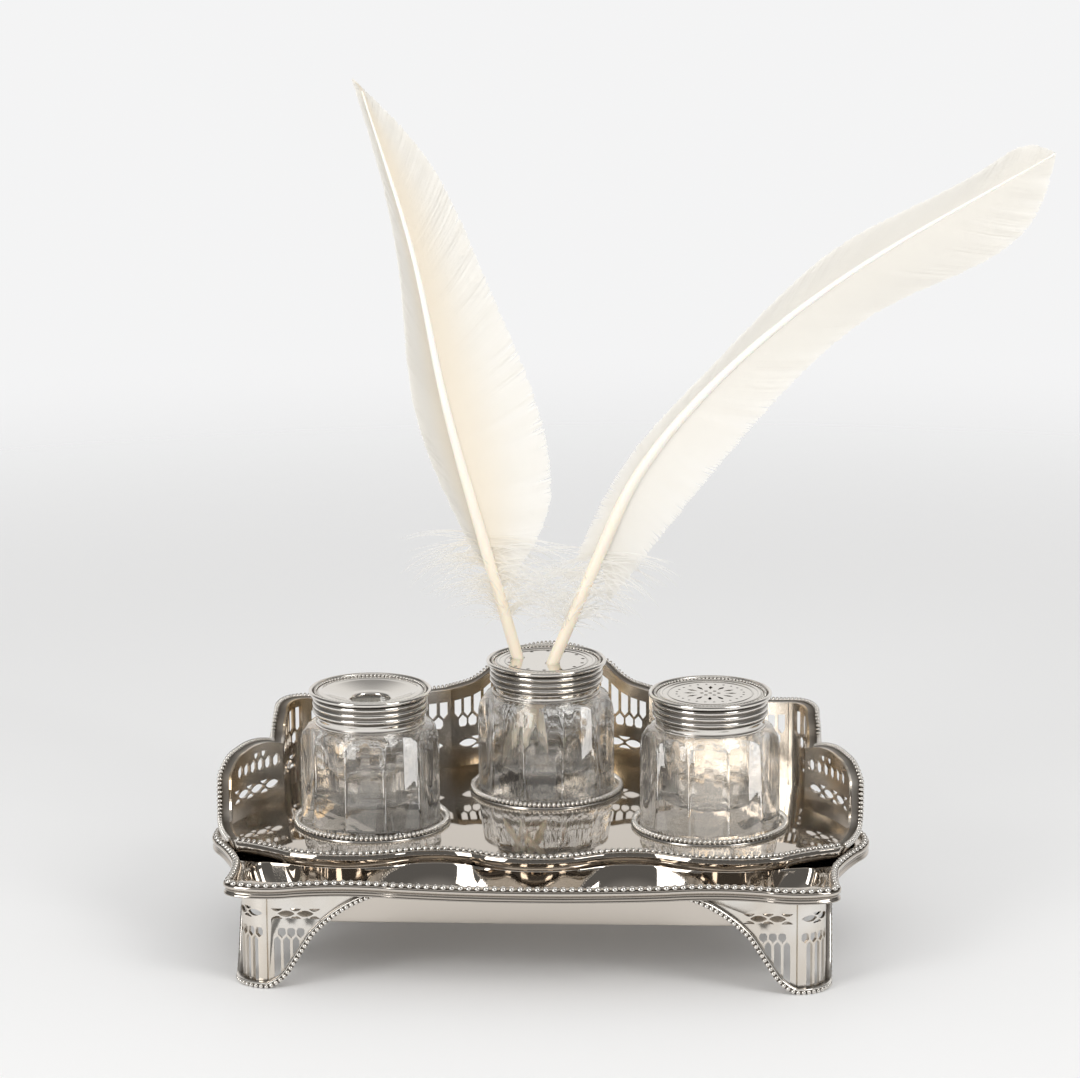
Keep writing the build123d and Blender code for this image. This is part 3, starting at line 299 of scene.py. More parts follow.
class Outline:
    """A chain of arcs in a plane, each given by its end point and its bulge to the right of travel."""

    def __init__(self, points, bulges, closed=False):
        self.points = [Vector(point) for point in points]
        if closed:
            self.points.append(self.points[0])
        self.bulges, self.closed = bulges, closed
        self.arcs = []
        for start, end, bulge in zip(self.points, self.points[1:], bulges):
            chord = end - start
            turn = 2 * math.atan(2 * bulge / chord.length)
            self.arcs.append((start, chord, Vector((chord.y, -chord.x)).normalized(), bulge, turn))
        before = [turned(out, turn) for _, _, out, _, turn in self.arcs]
        after = [turned(out, -turn) for _, _, out, _, turn in self.arcs]
        joints = list(zip(before, after[1:]))
        if closed:
            joints = [(before[-1], after[0])] + joints + [(before[-1], after[0])]
        else:
            joints = [(after[0], after[0])] + joints + [(before[-1], before[-1])]
        self.mitres = [(a + b) / (1 + a.dot(b)) for a, b in joints]

    def length(self, i):
        """The length of one arc."""
        chord, turn = self.arcs[i][1], self.arcs[i][4]
        return chord.length if abs(turn) < STRAIGHT else chord.length * turn / math.sin(turn)

    def counts(self, step):
        """How many steps of about that length fit each arc."""
        return [max(1, round(self.length(i) / step)) for i in range(len(self.arcs))]

    def stations(self, counts):
        """Places along the chain, each with the way outwards and its distance from the start."""
        found, passed = [], 0.0
        for i, (start, chord, outward, bulge, turn) in enumerate(self.arcs):
            for j in range(counts[i]):
                share = j / counts[i]
                aim = turned(outward, turn * (2 * share - 1)) if j else self.mitres[i]
                if bulge == 0 or j == 0:
                    place = start + chord * share
                else:
                    radius = chord.length / (2 * math.sin(turn))
                    place = start + chord / 2 + outward * (bulge - radius) + aim * radius
                found.append((place, aim, passed + share * self.length(i)))
            passed += self.length(i)
        if not self.closed:
            found.append((self.points[-1], self.mitres[-1], passed))
        return found

    def loop(self, step, shift=0.0):
        """A closed chain's points, moved outwards by shift."""
        return [place + aim * shift for place, aim, _ in self.stations(self.counts(step))]

    def height_over(self, across):
        """The chain's second coordinate over a place along its first one."""
        for i, (start, chord, outward, bulge, turn) in enumerate(self.arcs):
            if across <= start.x + chord.x or i == len(self.arcs) - 1:
                break
        if abs(turn) < STRAIGHT:
            return start.y + chord.y * (across - start.x) / chord.x
        radius = chord.length / (2 * math.sin(turn))
        centre = start + chord / 2 + outward * (bulge - radius)
        reach = math.sqrt(max(radius * radius - (across - centre.x) ** 2, 0))
        return centre.y - reach if radius > 0 else centre.y + reach


def both_sides(points, bulges, front_bulge, back_bulge):
    """A closed chain that is the same on the left, from its right half."""
    left = [(-x, y) for x, y in reversed(points)]
    return Outline(points + left, [*bulges, back_bulge, *reversed(bulges), front_bulge], closed=True)


def rim_outline():
    """The middle line of the tray's rim."""
    return both_sides(RIM, RIM_BULGES, RIM_FRONT, RIM_BACK)


def platform_outline():
    """The line of the gallery and the front border."""
    walls = SIDE_WALL[1:] + CORNER_WALL[1:] + WING_WALL[1:]
    bulges = FRONT_BULGES + SIDE_WALL_BULGES + CORNER_WALL_BULGES + WING_WALL_BULGES
    return both_sides(FRONT + walls, bulges, PLATFORM_FRONT, PLATFORM_BACK)


def spline_through(points, count, start=None, end=None):
    """Points on a smooth curve through the given ones; start and end are its headings there, if fixed."""
    places = np.array(points, float)
    knots = np.concatenate([[0], np.cumsum(np.linalg.norm(np.diff(places, axis=0), axis=1))])
    gaps = np.diff(knots)
    n = len(places)
    system, right = np.zeros((n, n)), np.zeros((n, places.shape[1]))
    for i in range(1, n - 1):
        system[i, i - 1:i + 2] = gaps[i - 1], 2 * (gaps[i - 1] + gaps[i]), gaps[i]
        right[i] = 6 * ((places[i + 1] - places[i]) / gaps[i] - (places[i] - places[i - 1]) / gaps[i - 1])
    system[0, 0] = system[-1, -1] = 1
    if start is not None:
        system[0, :2] = 2 * gaps[0], gaps[0]
        right[0] = 6 * ((places[1] - places[0]) / gaps[0] - np.array(start))
    if end is not None:
        system[-1, -2:] = gaps[-1], 2 * gaps[-1]
        right[-1] = 6 * (np.array(end) - (places[-1] - places[-2]) / gaps[-1])
    bends = np.linalg.solve(system, right)
    found = []
    for at in np.linspace(0, knots[-1], count):
        i = min(np.searchsorted(knots, at, side="right") - 1, n - 2)
        a, b, gap = knots[i + 1] - at, at - knots[i], gaps[i]
        found.append((bends[i] * a ** 3 + bends[i + 1] * b ** 3) / (6 * gap)
                     + (places[i] / gap - bends[i] * gap / 6) * a
                     + (places[i + 1] / gap - bends[i + 1] * gap / 6) * b)
    return np.array(found)


def piece(name, shape, look, body, replaces=(), crease=35, dark=None):
    """A finished object from vertices in millimetres and faces; dark is the painted shade round its profile.
    """
    vertices, faces = shape
    mesh = bpy.data.meshes.new(name)
    mesh.from_pydata([metres(vertex) for vertex in vertices], [], faces)
    if dark:
        values = [dark[i % len(dark)] for i in range(len(vertices))]
        mesh.attributes.new("dark", "FLOAT", "POINT").data.foreach_set("value", values)
    sewn = bmesh.new()
    sewn.from_mesh(mesh)
    bmesh.ops.remove_doubles(sewn, verts=sewn.verts, dist=WELD)
    bmesh.ops.recalc_face_normals(sewn, faces=sewn.faces)
    sewn.to_mesh(mesh)
    sewn.free()
    return placed(name, mesh, look, body, replaces, crease)


def placed(name, mesh, look, body, replaces=(), crease=35):
    """An object for a finished mesh, with its material, its body and the nodes it stands for."""
    mesh.polygons.foreach_set("use_smooth", [True] * len(mesh.polygons))
    mesh.set_sharp_from_angle(angle=math.radians(crease))
    if look is not None:
        mesh.materials.clear()
        mesh.materials.append(look)
    made = bpy.data.objects.new(name, mesh)
    bpy.context.scene.collection.objects.link(made)
    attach(made, body)
    if replaces:
        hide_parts(*replaces)
    return made


def smooth_copy(node, look, body, crease=28):
    """A node's own mesh with its triangles joined, so that curved faces shade smoothly."""
    mesh = NODES[node].data.copy()
    sewn = bmesh.new()
    sewn.from_mesh(mesh)
    bmesh.ops.remove_doubles(sewn, verts=sewn.verts, dist=CAD_WELD)
    bmesh.ops.dissolve_degenerate(sewn, edges=sewn.edges, dist=WELD)
    sewn.to_mesh(mesh)
    sewn.free()
    if mesh.has_custom_normals:
        mesh.normals_split_custom_set([(0, 0, 0)] * len(mesh.loops))
    return placed(node + "_dressed", mesh, look, body, [node], crease)


def swept(stations, profile, closed):
    """Vertices and faces of a profile carried along stations of (place, outwards, upwards)."""
    vertices = [place + out * u + up * v for place, out, up in stations for u, v, *_ in profile]
    rows, width = len(stations), len(profile)
    faces = []
    for i in range(rows if closed else rows - 1):
        k = (i + 1) % rows
        for j in range(width):
            m = (j + 1) % width
            faces.append((i * width + j, k * width + j, k * width + m, i * width + m))
    if not closed:
        faces += [tuple(range(width)), tuple(range((rows - 1) * width, rows * width))]
    return vertices, faces


def plan_stations(outline, step=SWEEP_STEP):
    """Stations of a sweep along a plan outline, whose profile gives the heights above the table."""
    return [(Vector((*place, 0)), Vector((*aim, 0)), UP)
            for place, aim, _ in outline.stations(outline.counts(step))]


def around(centre, count):
    """Stations round a bottle's axis, at the height of the platform."""
    hub = Vector((*centre, PLATFORM_TOP))
    angles = [2 * math.pi * i / count for i in range(count)]
    return [(hub, Vector((math.cos(angle), math.sin(angle), 0)), UP) for angle in angles]


def shifted(stations, shift):
    """A line beside stations, that far outwards and upwards of them."""
    return [place + out * shift[0] + up * shift[1] for place, out, up in stations]


def ring_line(centre, radius, height, count):
    """A closed line round a bottle's axis, above the platform."""
    return shifted(around(centre, count), (radius, height)), True


# ---------------------------------------------------------------- node trees

class Value:
    """An output of a node; sums, differences and products of it add Math nodes."""

    def __init__(self, nodes, socket):
        self.nodes, self.socket = nodes, socket

    def __add__(self, other):
        return self.nodes.maths("ADD", self, other)

    def __sub__(self, other):
        return self.nodes.maths("SUBTRACT", self, other)

    def __rsub__(self, other):
        return self.nodes.maths("SUBTRACT", other, self)

    def __mul__(self, other):
        return self.nodes.maths("MULTIPLY", self, other)

    def beside(self, key):
        """Another output of the same node."""
        return Value(self.nodes, self.socket.node.outputs[key])


class Nodes:
    """A node tree, built node by node."""

    def __init__(self, tree):
        self.tree = tree

    def node(self, kind, settings=None, inputs=None, out=0):
        """A node with its settings first, then its inputs; returns one of its outputs."""
        made = self.tree.nodes.new(kind)
        for key, value in (settings or {}).items():
            setattr(made, key, value)
        for key, value in (inputs or {}).items():
            if isinstance(value, Value):
                self.tree.links.new(value.socket, made.inputs[key])
            else:
                made.inputs[key].default_value = value
        return Value(self, made.outputs[out])

    def maths(self, operation, *values):
        """A Math node."""
        return self.node("ShaderNodeMath", {"operation": operation}, dict(enumerate(values)))


class Tree(Nodes):
    """A geometry node tree with named inputs."""

    def __init__(self, name, inputs):
        super().__init__(bpy.data.node_groups.new(name, "GeometryNodeTree"))
        face = self.tree.interface
        for way in ("OUTPUT", "INPUT"):
            face.new_socket("Geometry", in_out=way, socket_type="NodeSocketGeometry")
        self.ids = {label: face.new_socket(label, in_out="INPUT", socket_type="NodeSocket" + kind).identifier
                    for label, kind in inputs.items()}
        self.source = self.tree.nodes.new("NodeGroupInput")

    def given(self, label):
        """A named input."""
        return Value(self, self.source.outputs[label])

    def vectors(self, operation, *values, out=0):
        """A Vector Math node."""
        return self.node("ShaderNodeVectorMath", {"operation": operation}, dict(enumerate(values)), out)

    def scaled(self, vector, factor):
        """A vector times a number."""
        return self.node("ShaderNodeVectorMath", {"operation": "SCALE"}, {0: vector, "Scale": factor})

    def kept(self, geometry, kind, label, value):
        """A geometry whose points keep a value under a name."""
        return self.node("GeometryNodeStoreNamedAttribute", {"data_type": kind, "domain": "POINT"},
                         {"Geometry": geometry, "Name": label, "Value": value})

    def stored(self, kind, label):
        """A value kept under a name."""
        return self.node("GeometryNodeInputNamedAttribute", {"data_type": kind}, {"Name": label})

    def finish(self, geometry):
        """Realise the instances and give them their material."""
        real = self.node("GeometryNodeRealizeInstances", inputs={"Geometry": geometry})
        look = self.node("GeometryNodeSetMaterial", inputs={
            "Geometry": real, "Material": self.given("Material")})
        self.tree.links.new(look.socket, self.tree.nodes.new("NodeGroupOutput").inputs["Geometry"])
        return self

    def grow(self, name, mesh, values):
        """The plain mesh that the tree makes of a path mesh."""
        holder = bpy.data.objects.new(name, mesh)
        bpy.context.scene.collection.objects.link(holder)
        modifier = holder.modifiers.new(self.tree.name, "NODES")
        modifier.node_group = self.tree
        for label, value in values.items():
            modifier[self.ids[label]] = value
        bpy.context.view_layer.update()
        seen = holder.evaluated_get(bpy.context.evaluated_depsgraph_get())
        grown = bpy.data.meshes.new_from_object(seen)
        grown.name = name
        bpy.data.objects.remove(holder)
        return grown


def bead_tree():
    """Beads in a row along each line of a mesh, lying across it at a slant."""
    tree = Tree("Bead row", {"Pitch": "Float", "Along": "Float", "Across": "Float", "Height": "Float",
                             "Slant": "Float", "Material": "Material"})
    given = tree.given
    curve = tree.node("GeometryNodeMeshToCurve", inputs={"Mesh": given("Geometry")})
    length = tree.node("GeometryNodeSplineLength")
    count = tree.maths("ROUND", tree.maths("DIVIDE", length, given("Pitch")))
    spaced = tree.node("GeometryNodeResampleCurve", {"mode": "COUNT"}, {"Curve": curve, "Count": count})
    tangent = tree.node("GeometryNodeInputTangent")
    aim = tree.node("FunctionNodeAlignRotationToVector", {"axis": "X"}, {"Vector": tangent})
    slant = tree.node("ShaderNodeCombineXYZ", inputs={"Z": given("Slant")})
    turn = tree.node("FunctionNodeEulerToRotation", inputs={"Euler": slant})
    aim = tree.node("FunctionNodeRotateRotation", {"rotation_space": "LOCAL"}, {0: aim, 1: turn})
    bead = tree.node("GeometryNodeMeshIcoSphere", inputs={"Radius": 0.5, "Subdivisions": 2})
    size = tree.node("ShaderNodeCombineXYZ", inputs={
        "X": given("Along"), "Y": given("Across"), "Z": given("Height")})
    return tree.finish(tree.node("GeometryNodeInstanceOnPoints", inputs={
        "Points": spaced, "Instance": bead, "Rotation": aim, "Scale": size}))


def barb_tree():
    """Thin barbs from a shaft line to an edge line, with loose ones when Fluff is raised."""
    tree = Tree("Feather barbs", {
        "Barbs": "Int", "Width": "Float", "Lean": "Float", "Bow": "Float", "Tilt": "Float", "Taper": "Float",
        "Part": "Float", "Fluff": "Float", "Stretch": "Float", "Seed": "Int", "Material": "Material"})
    given = tree.given
    split = tree.node("GeometryNodeSeparateGeometry", {"domain": "POINT"},
                      {"Geometry": given("Geometry"), "Selection": tree.stored("BOOLEAN", "outer")})
    edge = tree.node("GeometryNodeMeshToCurve", inputs={"Mesh": split})
    shaft = tree.node("GeometryNodeMeshToCurve", inputs={"Mesh": split.beside(1)})
    share = tree.maths("DIVIDE", tree.node("GeometryNodeInputIndex"), given("Barbs"))

    # where each barb leaves the shaft and where it ends, with partings between the locks
    locks = tree.node("ShaderNodeTexNoise", {"noise_dimensions": "1D"},
                      {"W": share * LOCKS + given("Seed"), "Scale": 1.0, "Detail": 2.0})
    there = share + share * (1.0 - share) * given("Lean") + (locks - 0.5) * given("Part")
    root, tip = (tree.node("GeometryNodeSampleCurve", {"mode": "FACTOR", "data_type": "FLOAT"},
                           {"Curves": line, "Factor": factor}, out=1)
                 for line, factor in ((shaft, share), (edge, there)))
    astray = tree.node("FunctionNodeRandomValue", {"data_type": "FLOAT_VECTOR"},
                       {0: (-1.0, -1.0, -1.0), 1: (1.0, 1.0, 1.0), "Seed": given("Seed") + 7})
    shorter = tree.node("FunctionNodeRandomValue", {"data_type": "FLOAT"},
                        {2: 0.0, 3: 1.0, "Seed": given("Seed") + 3}, out=1)
    reach = tree.scaled(tree.vectors("SUBTRACT", tip, root), 1.0 - shorter * given("Stretch"))
    reach = tree.vectors("ADD", reach, tree.scaled(astray, given("Fluff")))

    # one narrow strip for each barb, as a plain grid that knows its own place along and across
    points = tree.node("GeometryNodePoints", inputs={"Count": given("Barbs")})
    for label, value in (("root", root), ("reach", reach)):
        points = tree.kept(points, "FLOAT_VECTOR", label, value)
    strip = tree.node("GeometryNodeMeshGrid", inputs={
        "Size X": 1.0, "Size Y": 2.0, "Vertices X": 9, "Vertices Y": 2})
    spread = tree.node("ShaderNodeSeparateXYZ", inputs={0: tree.node("GeometryNodeInputPosition")})
    for label, value in (("along", spread + 0.5), ("side", spread.beside(1))):
        strip = tree.kept(strip, "FLOAT", label, value)
    barbs = tree.node("GeometryNodeInstanceOnPoints", inputs={"Points": points, "Instance": strip})
    barbs = tree.node("GeometryNodeRealizeInstances", inputs={"Geometry": barbs})

    # the strips laid out from the shaft, bowed, tapered to their tips and tilted like tiles
    along, side = (tree.stored("FLOAT", label) for label in ("along", "side"))
    root, reach = (tree.stored("FLOAT_VECTOR", label) for label in ("root", "reach"))
    across = tree.vectors("NORMALIZE", tree.vectors("CROSS_PRODUCT", reach, (0.0, 1.0, 0.0)))
    taper = 1.0 - tree.maths("POWER", along, 5.0) * given("Taper")
    half = side * given("Width") * taper
    arch = along * (1.0 - along) * given("Bow") * tree.vectors("LENGTH", reach, out=1)
    shifted = tree.scaled(across, half * 0.5 + arch)
    lifted = tree.node("ShaderNodeCombineXYZ", inputs={"Y": half * given("Tilt")})
    carried = tree.vectors("ADD", root, tree.scaled(reach, along))
    final = tree.vectors("ADD", carried, tree.vectors("ADD", shifted, lifted))
    return tree.finish(tree.node("GeometryNodeSetPosition", inputs={"Geometry": barbs, "Position": final}))


def line_mesh(name, lines, outer=None):
    """A mesh of loose lines, each a list of points in millimetres and whether it closes."""
    vertices, edges, marks = [], [], []
    for i, (points, closed) in enumerate(lines):
        first = len(vertices)
        vertices += [metres(point) for point in points]
        edges += [(first + j, first + j + 1) for j in range(len(points) - 1)]
        if closed:
            edges.append((first + len(points) - 1, first))
        marks += [bool(outer and outer[i])] * len(points)
    mesh = bpy.data.meshes.new(name)
    mesh.from_pydata(vertices, edges, [])
    if outer:
        mesh.attributes.new("outer", "BOOLEAN", "POINT").data.foreach_set("value", marks)
    return mesh


def beaded(name, lines, pitch, size, slant=0.0, body="stand"):
    """Rows of beads along lines; size is how long, wide and high a bead is, in metres."""
    along, across, height = size
    mesh = bead_tree().grow(name, line_mesh(name + "_line", lines), {
        "Pitch": pitch, "Along": along, "Across": across, "Height": height, "Slant": slant,
        "Material": looks()["beads"]})
    return placed(name, mesh, None, body)


# ---------------------------------------------------------------- materials

# the second colour is painted shade: near black, which grooves and the channels under beads are darkened
# towards, where shade falls
GOLD_TARNISH, GROOVE_SHADE = (0.50, 0.35, 0.17), (0.055, 0.040, 0.026)
ALONG_FLUTES, ALONG_HORN = (1.0, 1.0, 0.07), (3.0, 3.0, 0.12)  # stretches streaks upwards


class Look(Nodes):
    """A material, or the world, built node by node."""

    def __init__(self, owner):
        owner.use_nodes = True
        super().__init__(owner.node_tree)
        self.owner = owner
        self.tree.nodes.clear()

    def mix(self, factor, first, second):
        """A colour between two."""
        first, second = (shade if isinstance(shade, Value) else (*shade, 1) for shade in (first, second))
        return self.node("ShaderNodeMix", {"data_type": "RGBA"}, {0: factor, 6: first, 7: second}, out=2)

    def blend(self, factor, first, second):
        """A shader between two."""
        return self.node("ShaderNodeMixShader", inputs={0: factor, 1: first, 2: second})

    def place(self):
        """The point on the piece, in metres."""
        return self.node("ShaderNodeTexCoord", out=3)

    def stored(self, label):
        """A number kept on the mesh under a name."""
        return self.node("ShaderNodeAttribute", {"attribute_name": label}, out=2)

    def noise(self, scale, detail=3.0, stretch=None):
        """A cloudy value from 0 to 1, with features about 1 / scale metres wide."""
        where = self.place()
        if stretch:
            where = self.node("ShaderNodeMapping", inputs={"Vector": where, "Scale": stretch})
        return self.node("ShaderNodeTexNoise", inputs={"Vector": where, "Scale": scale, "Detail": detail})

    def band(self, value, low, high):
        """0 below low, 1 above high, smooth between."""
        return self.node("ShaderNodeMapRange", {"interpolation_type": "SMOOTHSTEP"},
                         {"Value": value, "From Min": low, "From Max": high})

    def bump(self, height, strength, distance):
        """A normal from a height."""
        return self.node("ShaderNodeBump", inputs={
            "Height": height, "Strength": strength, "Distance": distance})

    def done(self, shader, kind="ShaderNodeOutputMaterial"):
        """The finished material or world."""
        self.tree.links.new(shader.socket, self.tree.nodes.new(kind).inputs["Surface"])
        return self.owner


def material(name):
    """A new material to build a look in."""
    return Look(bpy.data.materials.new(name))


def silver_look(name, darkening, depth=0.0, roughness=None, warmth=0.0, level=1.0):
    """Silver with cloudy tarnish, and painted shade where the mesh's dark attribute marks grooves and bead
    channels.

    darkening is how much tarnish there is, depth how uneven the faces are, warmth how golden it has turned
    and level how bright the clean metal is."""
    settings = bpy.context.scene.inkstand.silver
    look = material(name)
    groove_shade = look.stored("dark")
    clouds = look.noise(55.0, detail=5.0) * 0.65 + look.noise(420.0, detail=4.0) * 0.35
    tarnish = look.band(clouds + darkening - 0.5, 0.32, 0.78)
    bright = [part * level ** (1 + 0.2 * i) for i, part in enumerate(settings.bright)]
    base = look.mix(tarnish, bright, settings.tarnish)
    if warmth:
        base = look.mix(look.band(look.noise(28.0, detail=3.0), 0.40, 0.62) * warmth, base, GOLD_TARNISH)
    # painted shade: grooves, reed valleys and the channels under the beads darkened where shade falls
    base = look.mix(groove_shade, base, GROOVE_SHADE)
    polish = settings.polish if roughness is None else roughness
    rough = tarnish * 0.30 + groove_shade * 0.35 + look.noise(900.0, detail=2.0) * 0.05 + polish
    dents = look.noise(38.0, detail=2.0) + look.noise(700.0, detail=2.0) * 0.03
    return look.done(look.node("ShaderNodeBsdfPrincipled", inputs={
        "Base Color": base, "Metallic": 1.0, "Roughness": rough,
        "Normal": look.bump(dents, strength=0.25 + depth, distance=0.0006)}))


def glass_look():
    """Clear cut glass with streaks on its flutes, that lets the lamps and deep sight through."""
    look = material("Cut glass")
    settings = bpy.context.scene.inkstand.glass
    streaks = look.noise(330.0, detail=2.0, stretch=ALONG_FLUTES)
    shader = look.node("ShaderNodeBsdfPrincipled", inputs={
        "Base Color": (*settings.tint, 1), "Roughness": 0.0, "IOR": 1.36, "Transmission Weight": 1.0,
        "Coat Weight": 0.9, "Coat IOR": 2.0, "Coat Roughness": 0.03,
        "Normal": look.bump(streaks, strength=0.6, distance=0.0008)})
    clear = look.node("ShaderNodeBsdfTransparent", inputs={"Color": (0.98, 0.98, 0.975, 1)})
    shadow = look.node("ShaderNodeLightPath", out=1)
    straight = look.maths("MAXIMUM", shadow, look.band(shadow.beside("Ray Depth"), 1.4, 1.8))
    share = settings.clear
    return look.done(look.blend(straight * (1 - share) + share, shader, clear))


def cement_look():
    """Matt plaster."""
    look = material("Plaster")
    grain = look.noise(900.0)
    return look.done(look.node("ShaderNodeBsdfPrincipled", inputs={
        "Base Color": look.mix(grain, (0.66, 0.62, 0.54), (0.80, 0.77, 0.70)), "Roughness": 0.85,
        "Normal": look.bump(grain, strength=0.4, distance=0.0003)}))


def shaft_look():
    """The horn of a quill, ivory below and paler towards its tip."""
    settings = bpy.context.scene.inkstand.quills
    look = material("Quill horn")
    height = look.node("ShaderNodeSeparateXYZ", inputs={0: look.place()}, out=2)
    base = look.mix(look.band(height, 0.10, 0.24), settings.ivory, settings.white)
    streaks = look.noise(300.0, detail=3.0, stretch=ALONG_HORN)
    return look.done(look.node("ShaderNodeBsdfPrincipled", inputs={
        "Base Color": look.mix(streaks * 0.22, base, (0.82, 0.68, 0.48)), "Roughness": 0.38,
        "Subsurface Weight": 0.25, "Subsurface Scale": 0.002,
        "Normal": look.bump(streaks, strength=0.2, distance=0.0004)}))


def vane_look(name, cream):
    """Feather barbs: cream beside the shaft, white and light-passing at the edge."""
    settings = bpy.context.scene.inkstand.quills
    look = material(name)
    fade = look.band(look.stored("along"), 0.0, 0.75)
    base = look.mix((1 - fade) * cream, settings.white, settings.ivory)
    base = look.mix(look.noise(160.0, detail=4.0) * 0.10, base, (0.82, 0.80, 0.76))
    solid = look.node("ShaderNodeBsdfPrincipled", inputs={
        "Base Color": base, "Roughness": 0.62, "Sheen Weight": 0.3,
        "Normal": look.bump(look.stored("side"), strength=0.30, distance=0.0003)})
    glow = look.node("ShaderNodeBsdfTranslucent", inputs={"Color": (0.95, 0.935, 0.90, 1)})
    return look.done(look.blend(0.42, solid, glow))


LOOKS = {}


def looks():
    """Every material by name, made once."""
    if not LOOKS:
        LOOKS.update(
            polished=silver_look("Polished silver", 0.02),
            tray=silver_look("Tray silver", 0.06, depth=-0.1, roughness=0.025, level=0.80),
            beads=silver_look("Beaded silver", 0.03, depth=0.2, roughness=0.24),
            borders=silver_look("Border silver", 0.14, depth=0.2, roughness=0.18, warmth=0.3),
            pierced=silver_look("Pierced silver", 0.27, depth=0.3, roughness=0.16, warmth=0.75, level=0.84),
            feet=silver_look("Foot silver", 0.0, depth=0.2, roughness=0.20, warmth=0.25),
            glass=glass_look(), cement=cement_look(), shaft=shaft_look(),
            vane_left=vane_look("Cream feather", 0.75), vane_right=vane_look("White feather", 0.06))
    return LOOKS


# ---------------------------------------------------------------- pieces

def filled(edge, holes, height):
    """A flat face inside a closed plan loop and round its holes, at one height, as triangles."""
    points, edges = [], []
    for loop in (edge, *holes):
        first = len(points)
        points += [Vector(point) for point in loop]
        edges += [(first + i, first + (i + 1) % len(loop)) for i in range(len(loop))]
    found, _, faces = delaunay_2d_cdt(points, edges, [], 0, 1e-5)[:3]
    kept = []
    for face in faces:
        middle = sum((found[i] for i in face), Vector((0, 0))) / len(face)
        if inside(middle, edge) and not any(inside(middle, hole) for hole in holes):
            kept.append(face)
    return [Vector((*point, height)) for point in found], kept


def inside(point, loop):
    """Whether a plan point is inside a loop."""
    odd = False
    for a, b in zip(loop, loop[1:] + loop[:1]):
        crosses = (a.y > point.y) != (b.y > point.y)
        if crosses and point.x < (b.x - a.x) * (point.y - a.y) / (b.y - a.y) + a.x:
            odd = not odd
    return odd


class Surface:
    """A mesh put together from parts that share their edges."""

    def __init__(self):
        self.vertices, self.faces = [], []

    def add(self, vertices, faces):
        """Another part of the surface."""
        first = len(self.vertices)
        self.vertices += vertices
        self.faces += [tuple(first + i for i in face) for face in faces]

    def skin(self, rows):
        """A skin over closed rows with the same number of points."""
        width = len(rows[0])
        faces = []
        for i in range(len(rows) - 1):
            for j in range(width):
                m = (j + 1) % width
                faces.append((i * width + j, i * width + m, (i + 1) * width + m, (i + 1) * width + j))
        self.add([point for row in rows for point in row], faces)

    def fill(self, row, height, holes=()):
        """A flat face inside a row and round its holes."""
        self.add(*filled([point.xy for point in row], holes, height))


def trough_rows():
    """Rows of points down the pen trough, from its mouth to the line along its bottom."""
    mouth = both_sides(TROUGH_MOUTH, TROUGH_MOUTH_BULGES, TROUGH_FRONT, TROUGH_BACK)
    low = both_sides(TROUGH_FLOOR, TROUGH_FLOOR_BULGES, TROUGH_FLAT, TROUGH_FLAT)
    counts = mouth.counts(TROUGH_STEP)
    upper, lower = mouth.stations(counts), low.stations(counts)
    rows = [[Vector((*(place + aim * TROUGH_LIP_WIDTH), RIM_SHEET_TOP)) for place, aim, _ in upper]]
    lip = RIM_SHEET_TOP - TROUGH_LIP
    for i in range(TROUGH_LEVELS + 1):
        angle = i / TROUGH_LEVELS * math.pi / 2
        inward = TROUGH_LEAN * math.sin(angle) + (1 - TROUGH_LEAN) * (1 - math.cos(angle))
        height = lip - (lip - TROUGH_FLOOR_Z) * math.sin(angle)
        rows.append([Vector((*place.lerp(foot, inward), height))
                     for (place, _, _), (foot, _, _) in zip(upper, lower)])
    return rows


class INKSTAND_OT_tray(bpy.types.Operator):
    """Make the tray: rim sheet, pen trough and raised platform in one sheet"""

    bl_idname = "inkstand.tray"
    bl_label = "Tray"

    def execute(self, context):
        rim, ground, trough = rim_outline(), platform_outline(), trough_rows()
        stations = ground.stations(ground.counts(SWEEP_STEP))
        drop = [[Vector((*(place + aim * shift), height)) for place, aim, _ in stations]
                for shift, height in PLATFORM_EDGE]
        sheet = Surface()
        holes = [[point.xy for point in trough[0]], ground.loop(SWEEP_STEP, MARGIN)]
        sheet.fill([Vector((*place, 0)) for place in rim.loop(RIM_STEP, MARGIN)], RIM_SHEET_TOP, holes)
        sheet.skin(trough)
        sheet.fill(trough[-1], TROUGH_FLOOR_Z)
        sheet.skin(drop)
        sheet.fill(drop[-1], PLATFORM_TOP)
        made = piece("tray_sheet", (sheet.vertices, sheet.faces), looks()["tray"], "stand",
                     ["tray"], crease=32)
        widest = max(made.data.polygons, key=lambda face: face.area)
        if widest.normal.z < 0:
            made.data.flip_normals()
        thickness = made.modifiers.new("Sheet", "SOLIDIFY")
        thickness.thickness, thickness.offset = SHEET * MM, -1
        seen = made.evaluated_get(bpy.context.evaluated_depsgraph_get())
        solid = bpy.data.meshes.new_from_object(seen)
        made.modifiers.clear()
        made.data = solid
        return {"FINISHED"}


def painted_groove_shade(profile):
    """The painted shade of each point of a profile that has it."""
    return [point[2] for point in profile if len(point) > 2]


def moulding(name, stations, profile, closed, look, node):
    """A silver moulding of the stand, its profile carried along stations."""
    piece(name, swept(stations, profile, closed), look, "stand", [node],
          crease=50, dark=painted_groove_shade(profile))


def spun(name, profile, centre, body, replaces=(), crease=40):
    """A polished silver piece turned about a bottle's axis."""
    shape = swept(around(centre, TURN_STEPS), profile, True)
    piece(name, shape, looks()["polished"], body, replaces, crease, painted_groove_shade(profile))


